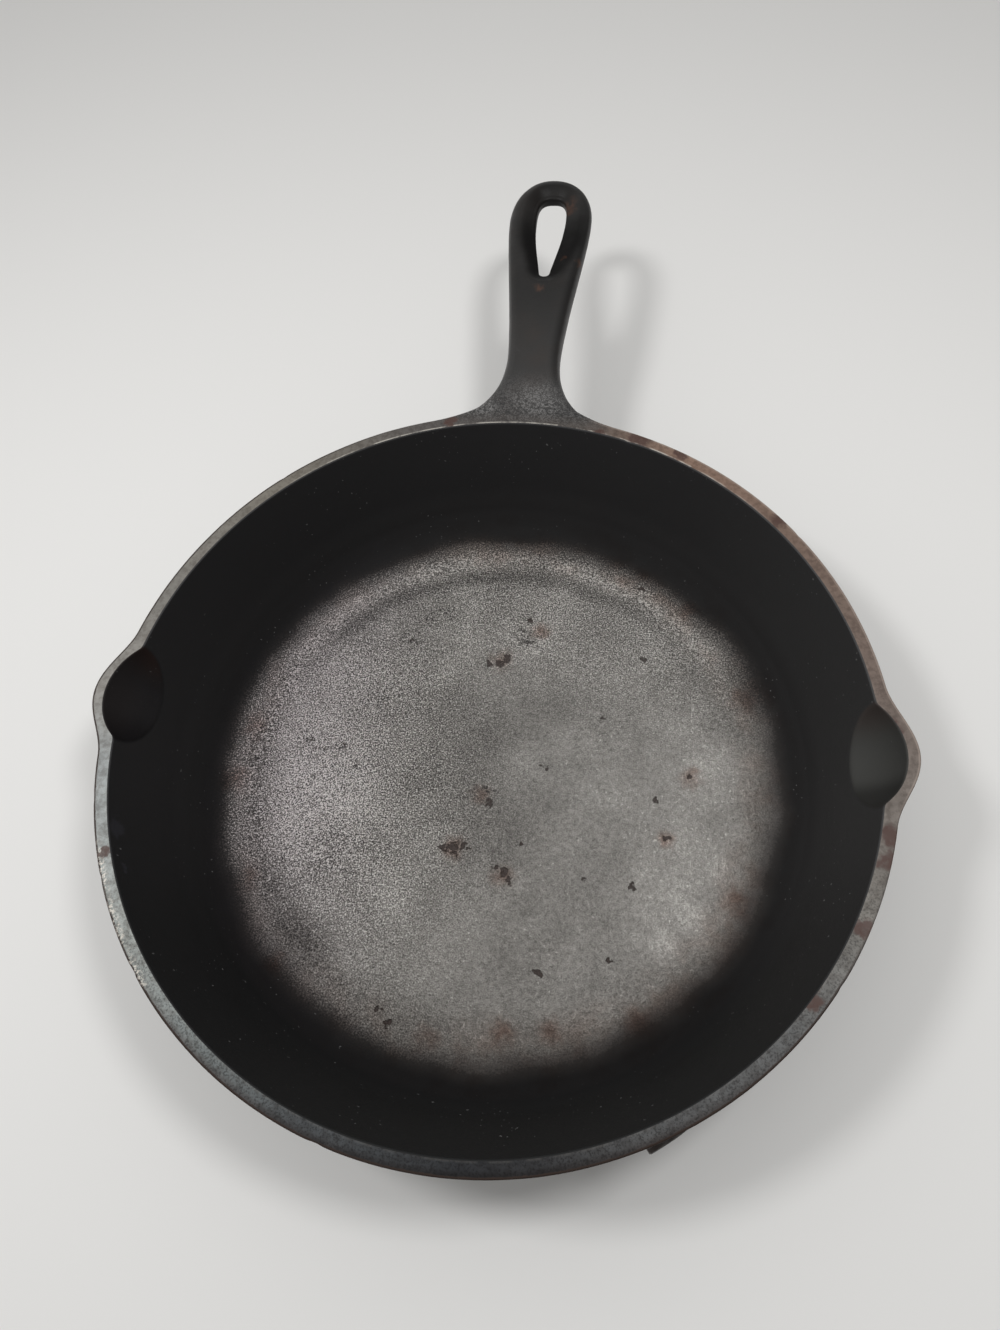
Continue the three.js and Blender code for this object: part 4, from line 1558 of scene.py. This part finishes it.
# seven pieces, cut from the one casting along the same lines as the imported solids

def makePiece(node, name):
    own = [k for k, zone in enumerate(faceZone) if zone == node]
    polygons = [faces[k] for k in own] + caps[node]
    used = sorted({i for face in polygons for i in face})
    index = {old: new for new, old in enumerate(used)}
    built = bmesh.new()
    for old in used:
        built.verts.new(points[old] * mm)
    built.verts.ensure_lookup_table()
    for k, face in enumerate(polygons):
        made = built.faces.new([built.verts[index[i]] for i in face])
        made.smooth = True
        isCap = k >= len(own)
        made.material_index = 0 if not isCap and faceInside[own[k]] else 1
        made.select = isCap
    bmesh.ops.recalc_face_normals(built, faces=built.faces)
    if built.calc_volume(signed=True) < 0:
        bmesh.ops.reverse_faces(built, faces=built.faces)
    mesh = bpy.data.meshes.new(name)
    built.to_mesh(mesh)
    built.free()
    for material in (cookingIron, seasonedIron):
        mesh.materials.append(material)
    for label, data in values.items():
        mesh.attributes.new(label, "FLOAT", "POINT").data.foreach_set("value", data[used].astype(np.float32))
    normals = []
    for polygon in mesh.polygons:
        if polygon.select:
            normals += [tuple(polygon.normal)] * polygon.loop_total
        else:
            normals += [tuple(cornerNormals[used[i]]) for i in polygon.vertices]
    mesh.normals_split_custom_set(normals)
    piece = bpy.data.objects.new(name, mesh)
    bpy.context.collection.objects.link(piece)
    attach(piece, "root")
    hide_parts(node)
    print(name, "has", len(mesh.polygons), "faces")
    return piece


for node, (name, slot) in pieces.items():
    makePiece(node, name)

# table, lamps and camera, in metres

studio = {
    "table": rgb(0.76, 0.755, 0.742),
    "tableRoughness": 0.85,
    "tableSpecular": 0.2,
    "tableHalf": 6,         # half of its side
    "tableDrop": 0.0002,    # it lies this far below the skillet
    "roomTint": rgb(1, 0.995, 0.985),
    "room": {               # how bright the room is, by direction: from, to, brightness there and there
        "Y": (-1.0, 1.0, 0.42, 0.79),
        "X": (0.10, 0.60, 1, 0.38),
        "Z": (0.90, 0.99, 1, 0.6),
    },
    "leftLamp": {"place": (-0.404, 0.025, 0.662), "size": 0.15, "power": 1.9},
    "rightLamp": {"place": (0.235, 0.080, 0.640), "size": 0.15, "power": 1.45},
}

photoCamera = {
    "place": (33.925, -106.148, 317.75),    # millimetres, from the middle of the pan's underside
    "turn": 14.02,
    "tilt": 26.133,
    "roll": -8.368,
    "lens": 23.247,
    "sensor": 36,           # the long side
}


def makeTable():
    half, low = studio["tableHalf"], -studio["tableDrop"]
    corners = [(x * half, y * half, low) for x, y in ((-1, -1), (1, -1), (1, 1), (-1, 1))]
    mesh = bpy.data.meshes.new("table")
    mesh.from_pydata(corners, [], [(0, 1, 2, 3)])
    table = bpy.data.objects.new("table", mesh)
    bpy.context.collection.objects.link(table)
    paint = bpy.data.materials.new("paleTable")
    paint.use_nodes = True
    shader = paint.node_tree.nodes["Principled BSDF"]
    shader.inputs["Base Color"].default_value = studio["table"]
    shader.inputs["Roughness"].default_value = studio["tableRoughness"]
    shader.inputs["Specular IOR Level"].default_value = studio["tableSpecular"]
    mesh.materials.append(paint)


def makeLamp(name):
    lamp = studio[name]
    place = Vector(lamp["place"])
    light = bpy.data.lights.new(name, "AREA")
    light.shape = "DISK"
    light.size = lamp["size"]
    light.energy = lamp["power"]
    made = bpy.data.objects.new(name, light)
    made.location = place
    made.rotation_euler = place.to_track_quat("Z", "Y").to_euler()
    bpy.context.collection.objects.link(made)


def makeWorld():
    world = bpy.data.worlds.new("room")
    world.use_nodes = True
    bpy.context.scene.world = world
    add = nodesOf(world.node_tree)
    background = world.node_tree.nodes["Background"]
    background.inputs["Color"].default_value = studio["roomTint"]
    split = add("ShaderNodeSeparateXYZ", {0: add("ShaderNodeTexCoord").outputs["Generated"]})
    strength = 1.0
    for axis, limits in studio["room"].items():
        change = fadeBy(add, split.outputs[axis], *limits)
        strength = add("ShaderNodeMath", {0: strength, 1: change}, operation="MULTIPLY").outputs[0]
    world.node_tree.links.new(strength, background.inputs["Strength"])


def makeCamera():
    data = bpy.data.cameras.new("photoCamera")
    data.sensor_fit = "AUTO"
    data.sensor_width = photoCamera["sensor"]
    data.lens = photoCamera["lens"]
    camera = bpy.data.objects.new("photoCamera", data)
    camera.matrix_world = Matrix.Translation(Vector(photoCamera["place"]) * mm)
    for name, axis in (("turn", "Z"), ("tilt", "X"), ("roll", "Z")):
        camera.matrix_world @= Matrix.Rotation(math.radians(photoCamera[name]), 4, axis)
    bpy.context.collection.objects.link(camera)
    bpy.context.scene.camera = camera


makeTable()
for name in ("leftLamp", "rightLamp"):
    makeLamp(name)
makeWorld()
makeCamera()
bpy.context.scene.view_settings.view_transform = "Standard"
print("table, lamps and camera placed")

bpy.context.view_layer.update()
